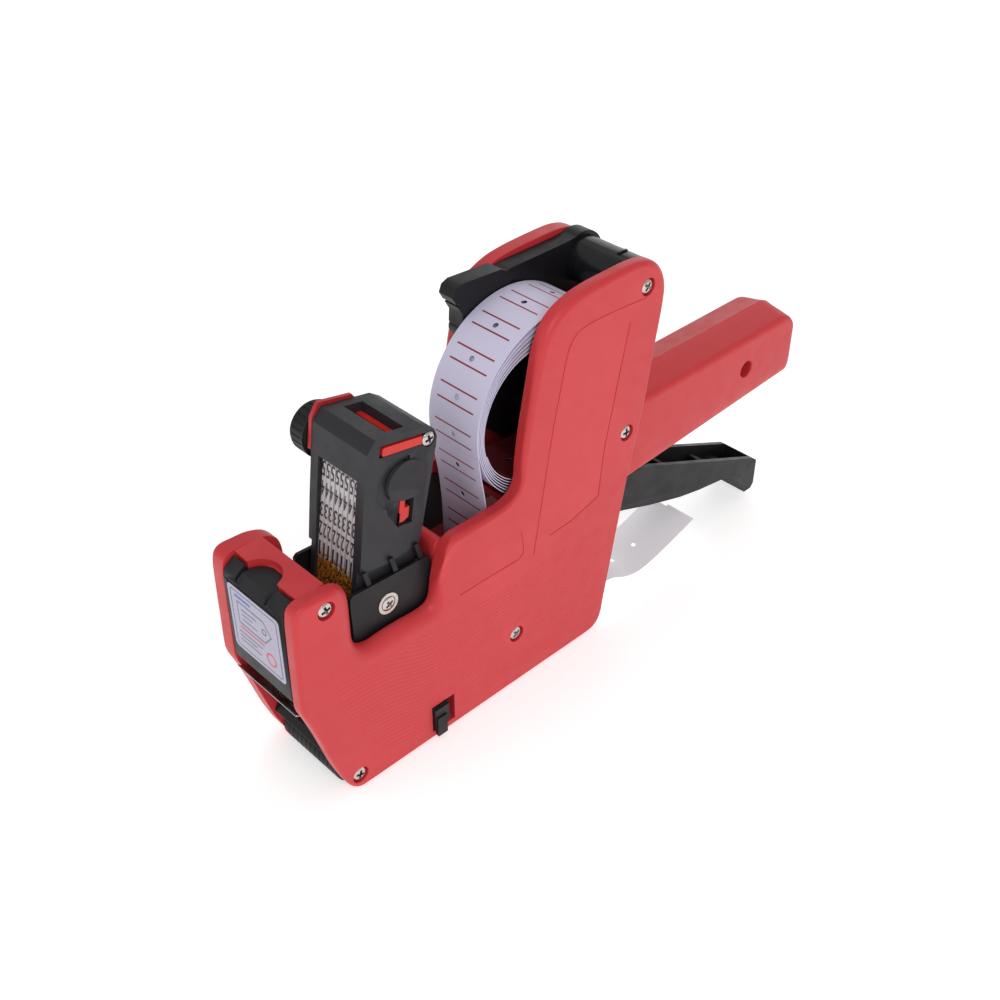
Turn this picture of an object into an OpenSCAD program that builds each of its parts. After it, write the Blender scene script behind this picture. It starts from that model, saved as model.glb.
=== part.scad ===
// Hand-held single-line price labeling gun: two red side shells with a rear
// handle, a swinging print head with number bands, a loose label roll, a feed
// wheel below, an ink-roller cover at the nose and a squeeze trigger.
// Millimetres. +X runs to the handle, -X to the nose, -Y is the left side,
// +Z is up. The gun stands on the flat lower edges of its side shells.

/* [Body] */
// Width across the left shell and a right shell of the same thickness
body_w = 37.8; // [35:0.2:42]
// How much thicker the right shell is than the left one
right_extra = 1.7; // [0:0.1:2]
// Thickness of each side shell at its rim
rim_t = 4.5; // [3.6:0.1:5]
// Thickness of each side shell inside its rim
wall_t = 2.6; // [2:0.1:3.2]
// Height of the roll housing above the base
body_h = 138.2; // [134:0.2:142]
// Height of the step behind the print head
step_h = 75.8; // [74:0.2:78]
// Height of the ears at the nose
ear_h = 82; // [80.5:0.5:84]

/* [Handle] */
// Half width of the handle
grip_hw = 11.7; // [10.5:0.1:13]
// Where the handle ends, behind the front of the base
grip_end = 211; // [195:1:220]
// Wall thickness of the handle
grip_t = 2.5; // [2:0.1:2.8]

/* [Trigger] */
// Half width of the trigger
trig_hw = 8; // [7:0.1:8.4]
// Wall thickness of the trigger channel
trig_t = 2; // [1.6:0.1:2.4]

/* [Print head] */
// Backward lean of the head when it is up
lean = 9; // [6:0.5:9]
// Number of print bands
bands_n = 8; // [6:1:8]
// Width of one print band
band_w = 1.7; // [1.5:0.1:1.8]
// Pitch of the bands across the head
band_p = 2.0; // [1.95:0.05:2.05]

/* [Labels] */
// Outer radius of the loosely wound label roll
roll_r = 32.2; // [26:0.2:32.6]
// Radial build of the paper on the roll
roll_build = 4.2; // [2:0.2:12]
// Width of the label web
web_w = 21; // [19:0.5:21.4]
// Thickness of the label web
web_t = 0.35; // [0.3:0.05:0.4]

/* [Nose] */
// Radius of the rubber applicator roller
nose_r = 5.2; // [4.4:0.1:5.4]
// Radius of the ink roller
ink_r = 6.2; // [5:0.1:6.4]

/* [Hidden] */
$fn = 64;
x_mid = 93;                 // middle of the overall length, along X
hw = body_w/2;              // outer face of a side shell
hr = hw + right_extra;      // outer face of the right shell
iw = hw - rim_t;            // inner face of a side shell's rim
web_y = -2.9;               // middle of the label web
e = 0.01;

// joint and pin centres, [x, z]
ear_c   = [-13.5, 76.6];
tube_c  = [113.9, 128.6];
root_c  = [108.5, 78.2];
low_c   = [59.3, 21.8];
nose_c  = [-7.4, 6.0];
grip_c  = [182.4, 68.2];
trig_c  = [104, 44];
arm_c   = [38, 47];
feed_c  = [46, 15];
guide_c = [48.4, 46.5];
hinge_c = [91, 5.2];
cover_c = [-20.3, 49.2];
roll_c  = [79.9, 99.6];
head_o  = [14, 60];
trig_crank = 9;
arm_crank  = 18;

// ---------- helpers ----------
function arc(c, r, a0, a1, n) = [for (i=[0:n]) [c[0]+r*cos(a0+(a1-a0)*i/n), c[1]+r*sin(a0+(a1-a0)*i/n)]];
function unit(v) = v/norm(v);
// outline of a band of thickness t that follows a path
function pathnorm(p,i) = let(n=len(p), a=p[max(i-1,0)], b=p[min(i+1,n-1)], d=unit(b-a)) [-d[1], d[0]];
function ribbon(p,t) = concat([for (i=[0:len(p)-1]) p[i]+pathnorm(p,i)*t/2], [for (i=[len(p)-1:-1:0]) p[i]-pathnorm(p,i)*t/2]);
// closed belt outline round two circles, c1 above c2
function belt(c1,r1,c2,r2,n=14) = let(d=c1-c2, L=norm(d), a=atan2(d[1],d[0]), b=acos((r2-r1)/L))
  concat(arc(c1,r1,a-b,a+b,n), arc(c2,r2,a+b,a-b+360,n));

// place the drawing in its own frame
module frame() translate([-x_mid,0,0]) children();
// extrude an [x,z] drawing between y0 and y1
module slab(y0,y1) translate([0,y1,0]) rotate([90,0,0]) linear_extrude(height=y1-y0) children();
// cylinder along Y at [x,z]
module pin(c,r,y0,y1) translate([c[0],y1,c[1]]) rotate([90,0,0]) cylinder(r=r,h=y1-y0);
module box(x0,y0,z0,x1,y1,z1) translate([x0,y0,z0]) cube([x1-x0,y1-y0,z1-z0]);
// the print head's own frame: u along the head's depth, w up the head
module head_frame() translate([head_o[0],0,head_o[1]]) rotate([0,lean,0]) children();

// ---------- side shells ----------
function side_outline() = concat(
  [[-25,45.5]],
  arc([-21.8,ear_h-3.2],3.2,180,90,5),
  arc([-8.5,ear_h-4.5],4.5,90,0,6),
  [[-4,58]], arc([-0.4,57.6],3.6,180,270,5),
  arc([22,60],6,270,350,6),
  [[28.6,67.5]], [[30,71]], arc([36,step_h-2.6],2.6,150,90,3),
  arc([54.2,step_h+7],7,270,350,7),
  arc([87,122.2],16,170,95,8),
  arc([111,body_h-11.6],11.6,90,8,9),
  arc([97.3,4.4],4.4,-10,-90,6),
  arc(nose_c,6,-90,-166,7));

module roll_pocket() polygon([[66,84],[74,125],[84,133],[104,134],[104,118],[117,118],[112,90],[104,86],[99,60],[70,60]]);
module low_pocket() polygon([[-2,12],[14,12],[14,30],[-14,44],[-10,28]]);
module mid_pocket() polygon([[66,50],[94,53],[94,36],[86,12],[66,12]]);
module notch_pocket() polygon([[1,33],[28,22],[30,50],[24,50],[4,50],[-8,46]]);

// posts that join the shells; the screws run into them from the left
posts = [[root_c,3.0],[low_c,3.6],[grip_c,3.8]];
bosses = [[trig_c,4.6],[arm_c,4.2],[feed_c,4.4],[guide_c,3.4],[hinge_c,3.2],[cover_c,3.0]];
bores  = [[trig_c,2.52],[arm_c,2.02],[feed_c,2.02],[guide_c,1.52],[hinge_c,1.27]];
case_holes = [ear_c,tube_c,root_c,low_c,nose_c];

// half of the handle between the mid-plane and its side, s is -1 or 1
module grip_side() polygon(concat([[107,49.2]],[[130,50.6]], [[grip_end-1.5,56.2]], arc([grip_end-9,83.4-9],9,0,90,7), [[118.6,83.4],[114,83.4]]));
module grip_solid(s) intersection() {
  slab(s<0?-grip_hw:0.05, s<0?-0.05:grip_hw) grip_side();
  translate([100,0,0]) rotate([90,0,90]) linear_extrude(height=120)
    polygon([[0,83.4],[s*9.3,80.9],[s*grip_hw,77.6],[s*grip_hw,57],[s*10.1,48],[0,48]]);
}
module grip_cavity(s) {
  slab(s<0?-(grip_hw-grip_t):-1, s<0?1:grip_hw-grip_t)
    polygon([[100,40],[104,79.2],[grip_end-12,79.2],[grip_end-4,74],[grip_end-4.2,59],[172,56.4],[172,40]]);
}
module shell(s) {
  h = s<0?hw:hr; y_out = s*h; y_in = s*iw; lo = min(y_out,y_in); hi = max(y_out,y_in);
  yw = s*(h-wall_t);
  difference() {
    union() {
      difference() {
        slab(lo,hi) polygon(side_outline());
        slab(min(yw,y_in+s*-1), max(yw,y_in+s*-1)) { roll_pocket(); low_pocket(); mid_pocket(); notch_pocket(); }
      }
      for (b=bosses) pin(b[0],b[1],lo,hi);
      // wall across the back of the roll housing
      slab(s<0?-iw-e:0.05, s<0?-0.05:iw+e) polygon([[112.4,83],[114.9,83],[120.2,116],[117.8,117.6]]);
      // web that carries the handle
      difference() { union() {
          slab(s<0?-iw-e:grip_hw-2, s<0?-grip_hw+2:iw+e) polygon([[108,52],[113.5,83.4],[117.4,83.4],[111.6,50.5]]);
          difference() { grip_solid(s); grip_cavity(s); } }
        slab(-9.6,9.6) polygon([[100,44],[100,79.4],[116,79.4],[112.5,44]]); }
      // end wall of the handle's open underside
      slab(s<0?-grip_hw+2:0.05, s<0?-0.05:grip_hw-2) polygon([[172,54.2],[174.5,54.3],[174.5,79.6],[172,79.6]]);
      if (s>0) for (p=posts) pin(p[0],p[1],p==posts[2]?-2.5:-iw+0.1,p==posts[2]?grip_hw-e:hi-e);
      if (s>0) pin(tube_c,3.0,-iw+0.1,hi-e);
      if (s>0) pin(nose_c,2.9,iw-0.4,hi-e);
      if (s<0) pin(grip_c,3.8,-grip_hw,-2.8);
      if (s>0) bridge();
    }
    // sloped rim round the notch beside the print head
    translate([-3.8,0,0]) rotate([90,0,90]) linear_extrude(height=31) polygon([[s*iw,54.2],[s*(h+1),47.9],[s*(h+1),62],[s*iw,62]]);
    translate([0,0,57]) linear_extrude(height=30) polygon([[-4,s*iw],[-10.4,s*(h+1)],[4,s*(h+1)],[4,s*iw]]);
    // nicks the front cover snaps into
    box(-26,min(s*(iw-1),s*(iw+1.8)),61.8,-23.9,max(s*(iw-1),s*(iw+1.8)),64.2);
    for (b=bores) pin(b[0],b[1],s<0?-hw+1.4:iw-3,s<0?-iw+3:hw-1.4);
    pin(cover_c,1.27,s<0?-hw+1.6:iw-3,s<0?-iw+3:hw-1.6);
    // screw holes: recess and clearance on the left, pilot on the right
    if (s<0) {
      for (c=case_holes) { pin(c,3.1,-hw-1,-hw+1.3); pin(c,1.6,-hw-1,-iw+1); }
      pin(grip_c,3.1,-grip_hw-1,-5); pin(grip_c,1.6,-grip_hw-1,0);
      // slot for the bottom cover's latch
      box(22,-hw-1,3.2,31.4,-iw+1,13.9);
    } else {
      pin(root_c,1.5,-iw-1,iw+2); pin(low_c,1.5,-iw-1,iw+2); pin(tube_c,1.5,-iw-1,iw+2);
      pin(grip_c,1.5,-6,6); pin(ear_c,1.55,-iw-1,-7.4);
      pin(grip_c,3.1,grip_hw-1.2,grip_hw+1);
    }
  }
}
module left_side_shell() color([0.80,0.27,0.30]) frame() shell(-1);
module right_side_shell()  color([0.80,0.27,0.30]) frame() shell(1);

// bridge of the right shell between the ears, cut out round the thumb tongue
module bridge() difference() {
  union() {
    box(-19.6,-iw+0.02,78.6,-10.4,iw+e,ear_h-0.3);
    box(-12.6,-iw+0.02,72.6,-10.4,iw+e,78.7);
    pin(ear_c,3.3,-iw+0.02,iw+e);
  }
  translate([-21.2,1,70]) cylinder(r=7.3,h=20);
}
// wall behind the print head, with a rounded top
module mid_wall() color([0.78,0.25,0.28]) frame() difference() {
  union() {
    slab(-iw+0.02,iw-0.02) polygon(concat([[29.2,55]], arc([31.2,72.4],2,180,0,8), [[33.2,55]]));
    box(33.1,-iw+0.02,55,40,-iw+1.6,60); box(33.1,iw-1.6,55,40,iw-0.02,60);
  }
}
// black plate beside the label path, on the right shell's inner face
module inner_guide() color([0.13,0.13,0.14]) frame() slab(11.6,iw-0.02)
  polygon([[45.5,53],[45.5,73.5],[47.5,75.2],[56,71.6],[64,66.4],[75,61.4],[90,60.2],[90,53]]);
// curved floor the roll lies in, between the shells
module roll_cradle() color([0.70,0.20,0.23]) frame() difference() {
  slab(-iw+0.02,iw-0.02) polygon(concat(arc(roll_c,33.0,236,312,16), arc(roll_c,35.0,312,236,16)));
  pin(root_c,3.3,-iw-1,iw+1);
}
// spacer tube at the top of the roll housing; the roll cover turns on it
module hinge_tube() color([0.16,0.16,0.17]) frame() difference() {
  union() { pin(tube_c,7.6,-iw+0.02,iw-0.02); pin(tube_c,8.6,-8.4,-7.0); }
  pin(tube_c,3.1,-iw-1,iw+1);
}
module case_screw(c,y,l) {
  difference() { pin(c,2.8,y,y+1.2); 
    box(c[0]-1.5,y-1,c[1]-0.28,c[0]+1.5,y+0.6,c[1]+0.28); box(c[0]-0.28,y-1,c[1]-1.5,c[0]+0.28,y+0.6,c[1]+1.5); }
  pin(c,1.45,y+1.15,y+l);
}
module case_screws() color([0.72,0.72,0.72]) frame() {
  case_screw(ear_c,-hw+0.1,10.6); case_screw(tube_c,-hw+0.1,18); case_screw(root_c,-hw+0.1,18);
  case_screw(low_c,-hw+0.1,18); case_screw(nose_c,-hw+0.1,14); case_screw(grip_c,-6.2,10);
}
module trigger_pin() color([0.75,0.75,0.76]) frame() pin(trig_c,2.5,-hw+1.5,hw-1.5);
module arm_shaft() color([0.75,0.75,0.76]) frame() pin(arm_c,2.0,-hw+1.5,hw-1.5);
module feed_axle() color([0.75,0.75,0.76]) frame() pin(feed_c,2.0,-hw+1.5,hw-1.5);
module guide_axle() color([0.75,0.75,0.76]) frame() pin(guide_c,1.5,-hw+1.5,hw-1.5);
module guide_roller() color([0.15,0.15,0.16]) frame() difference() {
  union() { pin(guide_c,3.4,-13.8,8.0); pin(guide_c,4.6,-14.2,-13.6); pin(guide_c,4.6,7.9,8.5); }
  pin(guide_c,1.55,-20,20);
}
module nose_shaft() color([0.75,0.75,0.76]) frame() difference() {
  pin(nose_c,2.0,-iw+0.05,iw-0.45); pin(nose_c,1.5,-iw-1,-2);
}
module bottom_hinge_pin() color([0.75,0.75,0.76]) frame() pin(hinge_c,1.25,-hw+1.5,hw-1.5);

// ---------- label path ----------
// black anvil the type prints against, held between the shells
module platen() color([0.17,0.17,0.18]) frame() difference() {
  union() {
    slab(-iw+0.02,iw-0.02) polygon([[-20.5,38.0],[-17,37.8],[24,37.8],[27,36.6],[27,35.4],[-18,35.4],[-20.8,37]]);
    for (s=[-1,1]) slab(s<0?-iw+0.02:iw-0.85, s<0?-iw+0.85:iw-0.02) polygon([[-16,35.5],[20,35.5],[14,28],[-12,28]]);
  }
}
// steel edge that peels the label off its liner
module peel_plate() color([0.78,0.78,0.78]) frame()
  slab(-iw+0.02,iw-0.02) polygon([[-24.2,41.0],[-24.2,40.6],[-20.9,38.9],[-15,38.25],[-15,37.9],[-17,37.9],[-21.2,38.4],[-24.6,40.4],[-24.8,41.0]]);
// nose block: guides the liner back and shields the applicator roller
module nose_guide() color([0.14,0.14,0.15]) frame() union() {
  slab(-iw+0.02,iw-0.02) polygon([[-14.6,14.6],[-13,17.6],[-3,21.5],[3.6,21.5],[3.6,19.7],[-2.6,19.7],[-11.6,16.2],[-13.4,12.4]]);
  for (y=[-12.6:3.6:12.8]) slab(y-0.5,y+0.5) polygon([[-11,16.6],[-3,19.8],[3,19.8],[3,13],[-7.2,12.4],[-12.6,13.6]]);
}
strip_path = concat(
  [[47.8,93.5]], [[49.3,86]], [[50.9,76]], [[51.7,68]], [[52.0,58]],
  arc(guide_c,3.6,4,-77,8), [[27.5,38.4]], [[24,38.05]], [[0,38.05]], [[-14.6,38.05]]);
module label_strip() color([0.84,0.82,0.88]) frame() slab(web_y-web_w/2,web_y+web_w/2) polygon(ribbon(strip_path,web_t*0.9));
liner_path = concat([[-15.6,34.9]],[[-8,34.2]],[[8,31.5]],[[24,28.6]],[[29,27]],[[31.2,24.6]],
  arc(feed_c,9.5,206,268,10), [[60,5.4]],[[84,8.4]],[[98,11]],[[105,11.9]],[[112,11.2]],[[116,9.4]],[[120,7.5]],[[124,6.3]],[[128,5.9]],[[133,6.4]],[[139,7.8]],[[145,9.5]],[[151,11.4]],[[158,13.7]]);
module liner_tail() color([0.82,0.80,0.86]) frame() difference() {
  slab(web_y-web_w/2,web_y+web_w/2) polygon(ribbon(liner_path,0.3));
  translate([136.4,web_y,0]) cylinder(r=1.1,h=20);
  box(155.6,web_y-0.2,5,170,web_y+web_w,25);
}
module label_roll() color([0.84,0.82,0.88]) frame() difference() {
  pin(roll_c,roll_r,web_y-web_w/2,web_y+web_w/2);
  pin(roll_c,roll_r-roll_build,-30,30);
}

// ---------- roll cover ----------
module roll_cover() color([0.15,0.15,0.16]) frame() difference() {
  union() {
    slab(8.4,iw-0.4) polygon(concat([[63.5,92]], [[65.5,108]], [[70.4,126]], arc([84,121.5],14.6,160,94,7), [[106,136.4]], [[113.9,137.2]], [[120.4,128.6]], [[113.9,119.6]], [[107,100]], [[104,88]], [[97,76]], [[84.5,72.1]], [[71.8,83.9]]));
    pin(tube_c,9.0,8.4,iw-0.4);
    // front tab, over the roll's far edge
    slab(8.0,iw-0.4) polygon([[58.6,134.6],[59.6,137.0],[62,138],[78,137.2],[84,134],[74,124],[64,118],[62,121.6],[62.4,128]]);
  }
  pin(tube_c,7.66,0,30);
  // flutes on the tab's thumb edge
  for (k=[0:3]) translate([60.6+0.35*k,10.9,131.6-2.7*k]) rotate([90,0,0]) cylinder(r=0.7,h=20,center=true);
}

// ---------- print head ----------
ear_poly = [[-1.8,66],[-1.7,69.8],[-0.6,70.8],[27.0,69.8],[28.2,68.6],[28,53.2],[33,52.2],[38,52.2],[42.6,48.6],[42.6,43.5],[38,42.0],[28,42.2],[22,43.4],[6,47.0],[-1.2,48.5]];
module print_arm() color([0.17,0.17,0.18]) frame() difference() {
  union() {
    for (s=[-1,1]) slab(s<0?-13.5:12.35, s<0?-12.35:13.5) polygon(ear_poly);
    for (s=[-1,1]) pin(arm_c,4.6,s<0?-iw+0.35:9.0, s<0?-9.0:iw-0.35);
    // cross bar under the head's back
    box(23.5,-12.4,44.2,27.0,12.4,48.2);
    // crank on the right, with its drive pin
    slab(12.35,iw-0.35) polygon([[34.6,47],[41.4,47],[40.6,28.6],[38,26],[35.4,28.6]]);
    pin([arm_c[0],arm_c[1]-arm_crank],1.5,9.1,12.4);
    // ribs above the ears
    for (p=[3.8,13.6,23.0]) for (s=[-1,1])
      slab(s<0?-13.1:12.35, s<0?-12.35:13.1) polygon([[p+1.7,69],[p+3.3,69],[p+1.4,76],[p-0.2,76]]);
  }
  pin(arm_c,2.05,-20,20);
  head_frame() for (s=[-1,1]) pin(head_p,1.6,s<0?-20:10,s<0?-10:20);
}
// case in the head's own frame
side_poly = [[-12.6,13.4],[-1.7,13.6],[4,15.2],[9.2,17.2],[9.8,21.9],[12.0,47.8],[12.0,51.2],[10.6,53.8],[6.8,55.6],[-10.6,56],[-13.2,52],[-13.2,42.4],[-13.0,28]];
module head_case() color([0.19,0.19,0.20]) frame() head_frame() difference() {
  union() {
    slab(-12,12) polygon(side_poly);
    slab(-10.6,10.6) polygon([[-12.6,13.5],[9.2,17.4],[9.2,-6],[5,-9],[-1.5,-9],[-1.5,-12.6],[-12.6,-12.6]]);
    pin([2.0,39.4],7.0,-12.4,-11.9);
    for (s=[-1,1]) pin(head_p,3.4,s<0?-12.2:10.4,s<0?-10.4:12.2);
  }
  // well for the bands, open in front and below
  slab(-8.6,8.6) polygon([[-20,42.6],[-20,4],[-12.8,-20],[-0.5,-20],[-0.5,-6],[6.8,-4],[7.6,20],[8.4,51],[-3.2,54.0],[-7,54.2],[-10.5,53.2],[-12.0,50],[-12.0,42.6]]);
  // slot in the top
  box(-5.1,-9.4,50,1.6,8.6,60);
  slab(-10.9,-8.5) polygon([[-1.2,50.6],[1.6,50.6],[1.6,53.2],[-1.2,53.2]]);
  // crescent recess, pointer window and lock bar groove on the left side
  difference() { pin([0.2,39.4],8.7,-13,-11.2); pin([2.0,39.4],7.05,-14,-11); box(2.5,-14,20,20,-11,60); }
  slab(-12.6,-8) polygon([[0.6,25.0],[5.4,25.0],[5.4,33.6],[0.6,33.6]]);
  slab(-12.6,-11) polygon([[-5.0,35.6],[-4.2,30.6],[0.5,24.5],[0.7,33.8]]);
  slab(-12.6,-10.7) polygon([[-8.8,49.9],[7.6,49.9],[7.6,53.3],[-8.8,53.6]]);
  pin([8.9,51.0],2.5,-12.6,-11.2);
  for (s=[-1,1]) pin(head_p,1.5,s<0?-20:8,s<0?-8:20);
  // bearing holes for the selector shaft
  pin(b_up,1.56,-10.8,20);
}
// red cover on the right side of the head
module head_side_cap() color([0.80,0.16,0.14]) frame() head_frame() difference() {
  slab(12.05,13.4) polygon([[-13.4,43],[-13.4,53],[-11.4,57.2],[0.6,56.7],[3.4,53.6],[3.4,45],[0,43]]);
  pin(b_up,1.75,-20,20);
}
module head_lock_bar() color([0.82,0.16,0.14]) frame() head_frame()
  union() {
  slab(-12.3,-10.75) polygon([[-8.0,50.6],[-7.2,50.3],[6.2,50.3],[6.2,52.8],[-7.2,53.0],[-8.0,52.7]]);
  slab(-10.8,8.4) polygon([[-0.8,50.9],[1.3,50.9],[1.3,52.9],[-0.8,52.9]]);
}
// two pivot screws with washers, and the small screw of the head's top corner
module head_screws() color([0.78,0.78,0.77]) frame() head_frame() {
  for (s=[-1,1]) {
    pin(head_p,1.4,min(s*8.8,s*14),max(s*8.8,s*14));
    pin(head_p,3.7,min(s*13.52,s*13.9),max(s*13.52,s*13.9));
    difference() {
      pin(head_p,2.3,min(s*13.88,s*14.3),max(s*13.88,s*14.3));
      box(head_p[0]-1.5,min(s*14.1,s*15),head_p[1]-0.28,head_p[0]+1.5,max(s*14.1,s*15),head_p[1]+0.28);
      box(head_p[0]-0.28,min(s*14.1,s*15),head_p[1]-1.5,head_p[0]+0.28,max(s*14.1,s*15),head_p[1]+1.5);
    }
  }
  difference() { pin([8.9,51.0],2.3,-12.7,-11.25); box(7.8,-13,50.8,10.0,-12.3,51.2); }
}
b_up = [-6.8,45.6]; b_lo = [-7.2,-12.6]; head_p = [-2.6,0.6];
// closed number belts, grouped three, three and two
function band_y(i) = -7.75 + i*band_p + (i>1?0.25:0) + (i>4?0.25:0);
module number_bands() color([0.86,0.85,0.84]) frame() head_frame() intersection() {
  for (i=[0:bands_n-1]) slab(band_y(i),band_y(i)+band_w) difference() {
    polygon(belt(b_up,4.8,b_lo,4.8)); polygon(belt(b_up,3.9,b_lo,3.9)); }
  box(-30,-20,-20,30,20,60);
}
module band_wheels() color([0.85,0.85,0.82]) frame() head_frame()
  for (i=[0:bands_n-1]) slab(band_y(i),band_y(i)+band_w) difference() {
    polygon(concat([for (k=[0:19]) b_up+(k%2==0?3.75:3.2)*[cos(k*18),sin(k*18)]]));
    circle_at(b_up,2.15); }
module circle_at(c,r) translate(c) circle(r=r);
// block inside the bottom of the belts
module type_guide() color([0.20,0.20,0.21]) frame() head_frame() union() {
  slab(-8.5,8.5) polygon(concat(arc(b_lo,3.7,180,360,12),[[-4.4,6],[-9.6,6]]));
  slab(-8.58,8.58) polygon([[-8.4,0],[-5.0,0],[-5.0,4],[-8.4,4]]);
}
// hub sleeve the wheels turn on, keeps them in line
module band_spacer() color([0.30,0.30,0.31]) frame() head_frame() difference() {
  pin(b_up,2.1,-8.5,8.5); pin(b_up,1.56,-9,9); }
module selector_shaft() color([0.76,0.76,0.77]) frame() head_frame() pin(b_up,1.5,-10.5,20.4);
module selector_knob() color([0.15,0.15,0.16]) frame() head_frame() difference() {
  union() { pin(b_up,8.0,14.2,19.6); pin(b_up,7.5,19.5,hr); }
  pin(b_up,1.55,0,22);
  // shallow flutes round the rim
  for (k=[0:23]) translate([b_up[0],0,b_up[1]]) rotate([0,k*15,0]) translate([8.25,0,0]) rotate([90,0,0]) translate([0,0,-19.1]) cylinder(r=0.5,h=4.2,$fn=16);
}
module selector_pointer() color([0.82,0.16,0.14]) frame() head_frame() union() {
  slab(-11.2,-8.8) polygon([[1.0,25.4],[2.8,25.4],[4.8,26.6],[4.8,30.2],[2.9,30.2],[2.9,33.0],[1.0,33.0]]);
}

// ---------- front cover with ink roller ----------
module front_cover() color([0.16,0.16,0.17]) frame() difference() {
  union() {
    slab(-13.9,13.9) polygon([[-24.8,46.2],[-24.8,76.2],[-24.0,78.4],[-20.6,81.0],[-20.0,78.6],[-22.4,76.4],[-22.6,52],[-22.6,46.6]]);
    // thumb tongue
    intersection() { translate([-21.2,1,76.4]) cylinder(r=6.6,h=3.2); box(-24.9,-8,70,-14.4,9,82); }
    box(-23.5,-5.5,75.8,-20.4,5.5,78.2);
    // cheeks that carry the ink roller
    for (s=[-1,1]) slab(s<0?-13.9:12.3, s<0?-12.3:13.9) polygon([[-23,47.2],[-23,70],[-12,67],[-5.6,61],[-5.6,55.6],[-10,53.2],[-16,47.2]]);
    for (s=[-1,1]) pin(cover_c,1.22,s<0?-hw+1.9:12.4,s<0?-12.4:hw-1.9);
  }
  pin([-8.8,58],1.55,-20,20);
  for (s=[-1,1]) slab(1+s*6.9-0.5,1+s*6.9+0.5) polygon([[-26,77.2],[-19,77.2],[-19,83],[-26,83]]);
}
module cover_sticker() color([0.86,0.85,0.91]) frame() slab(-12.2,12.2)
  polygon([[-25.0,51.4],[-25.0,75.4],[-24.82,75.4],[-24.82,51.4]]);
module ink_roller_shaft() color([0.75,0.75,0.76]) frame() pin([-8.8,58],1.5,-13.9,13.9);
module ink_roller() color([0.10,0.10,0.14]) frame() difference() {
  union() { pin([-8.8,58],ink_r,-10.5,10.5); pin([-8.8,58],3.0,-12.0,12.0); }
  pin([-8.8,58],1.55,-20,20);
}

// ---------- bottom cover ----------
module bottom_cover() color([0.15,0.15,0.16]) frame() difference() {
  union() {
    slab(-13.9,13.9) polygon([[5.2,0.4],[5.2,3.2],[8,3.6],[22,3.6],[28,3.0],[52,3.0],[58,3.4],[86,3.4],[90,3.0],[90,0.4]]);
    for (s=[-1,1]) slab(s<0?-13.9:11.4, s<0?-11.4:13.9) polygon(concat([[84,0.5],[84,5.2]], arc(hinge_c,2.9,150,-60,8)));
    // catch for the latch
    slab(-12.0,-9.4) polygon([[12,3.2],[15.8,3.2],[15.8,13.0],[13.6,13.0],[12,8]]);
  }
  pin(hinge_c,1.3,-20,20);
  // grooves under the cover
  for (i=[0:7]) box(12+i*5,-15,0.3,13.4+i*5,15,0.9);
}
module bottom_latch() color([0.13,0.13,0.14]) frame() union() {
  box(22.4,-hr+0.6,6.0,28.2,-hw-0.3,12.8);
  box(22.9,-hr,1.6,26.8,-hw-0.3,9.4);
  box(22.4,-hw-0.35,3.6,28.4,-iw-0.3,13.5);
  box(22.4,-iw-0.35,4.3,28.4,-12.6,13.1);
  box(16.8,-iw+0.4,8.8,28.4,-12.6,13.1);
  box(16.8,-12.7,8.8,19.8,-9.2,12.4);
}

// ---------- trigger and feed ----------
trig_side = concat([[101.2,44]], arc(trig_c,3.6,150,70,4), [[112,50.0]],[[122,49.4]],[[136.9,45.6]],[[165.5,33.4]],[[200.7,18.2]],[[203.2,16.2]],[[203.2,5.2]], [[201.8,3.2]],[[197.6,3.2]],
  [[196.4,6.4]],[[194.6,11.2]],[[190.4,14.6]],[[184,16.9]],[[180,17.7]],[[167.5,19.7]],[[155.4,22.4]],[[137.7,27.9]],[[122.6,33.4]],[[112,36.6]],[[104.5,40.6]]);
module trigger() color([0.15,0.15,0.16]) frame() difference() {
  union() {
    difference() {
      slab(-trig_hw,trig_hw) polygon(trig_side);
      // channel, open along the top
      slab(-trig_hw+trig_t,trig_hw-trig_t) polygon([[113,60],[113,39],[122.8,36],[137.9,30.4],[155.8,24.8],[167.8,22.1],[184,19.4],[192,17.2],[200.9,10],[200.9,30],[165,50],[137,60]]);
    }
    // cross ribs in the channel
    for (x=[150,176]) slab(-trig_hw+trig_t-e,trig_hw-trig_t+e) polygon([[x,37-(x-150)*0.46],[x+1.4,37-(x-150)*0.46],[x+1.4,23.6-(x-150)*0.18],[x,23.6-(x-150)*0.18]]);
    pin(trig_c,5.2,-iw+0.4,iw-0.4);
    // crank on the right, with its drive pin
    slab(11.65,iw-0.4) polygon([[100.4,43],[107.6,43],[106.4,34.6],[104,32.4],[101.6,34.6]]);
    pin([trig_c[0],trig_c[1]-trig_crank],1.5,9.1,11.7);
  }
  pin(trig_c,2.55,-20,20);
}
// coil spring between the handle and the trigger
module trigger_spring() color([0.74,0.74,0.75]) frame() {
  for (i=[0:9]) translate([126,0,37.2+i*4.45]) rotate_extrude($fn=40) translate([3.6,0]) circle(r=0.45,$fn=16);
  box(129.35,-0.3,37.2,129.85,0.3,77.6);
}
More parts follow.
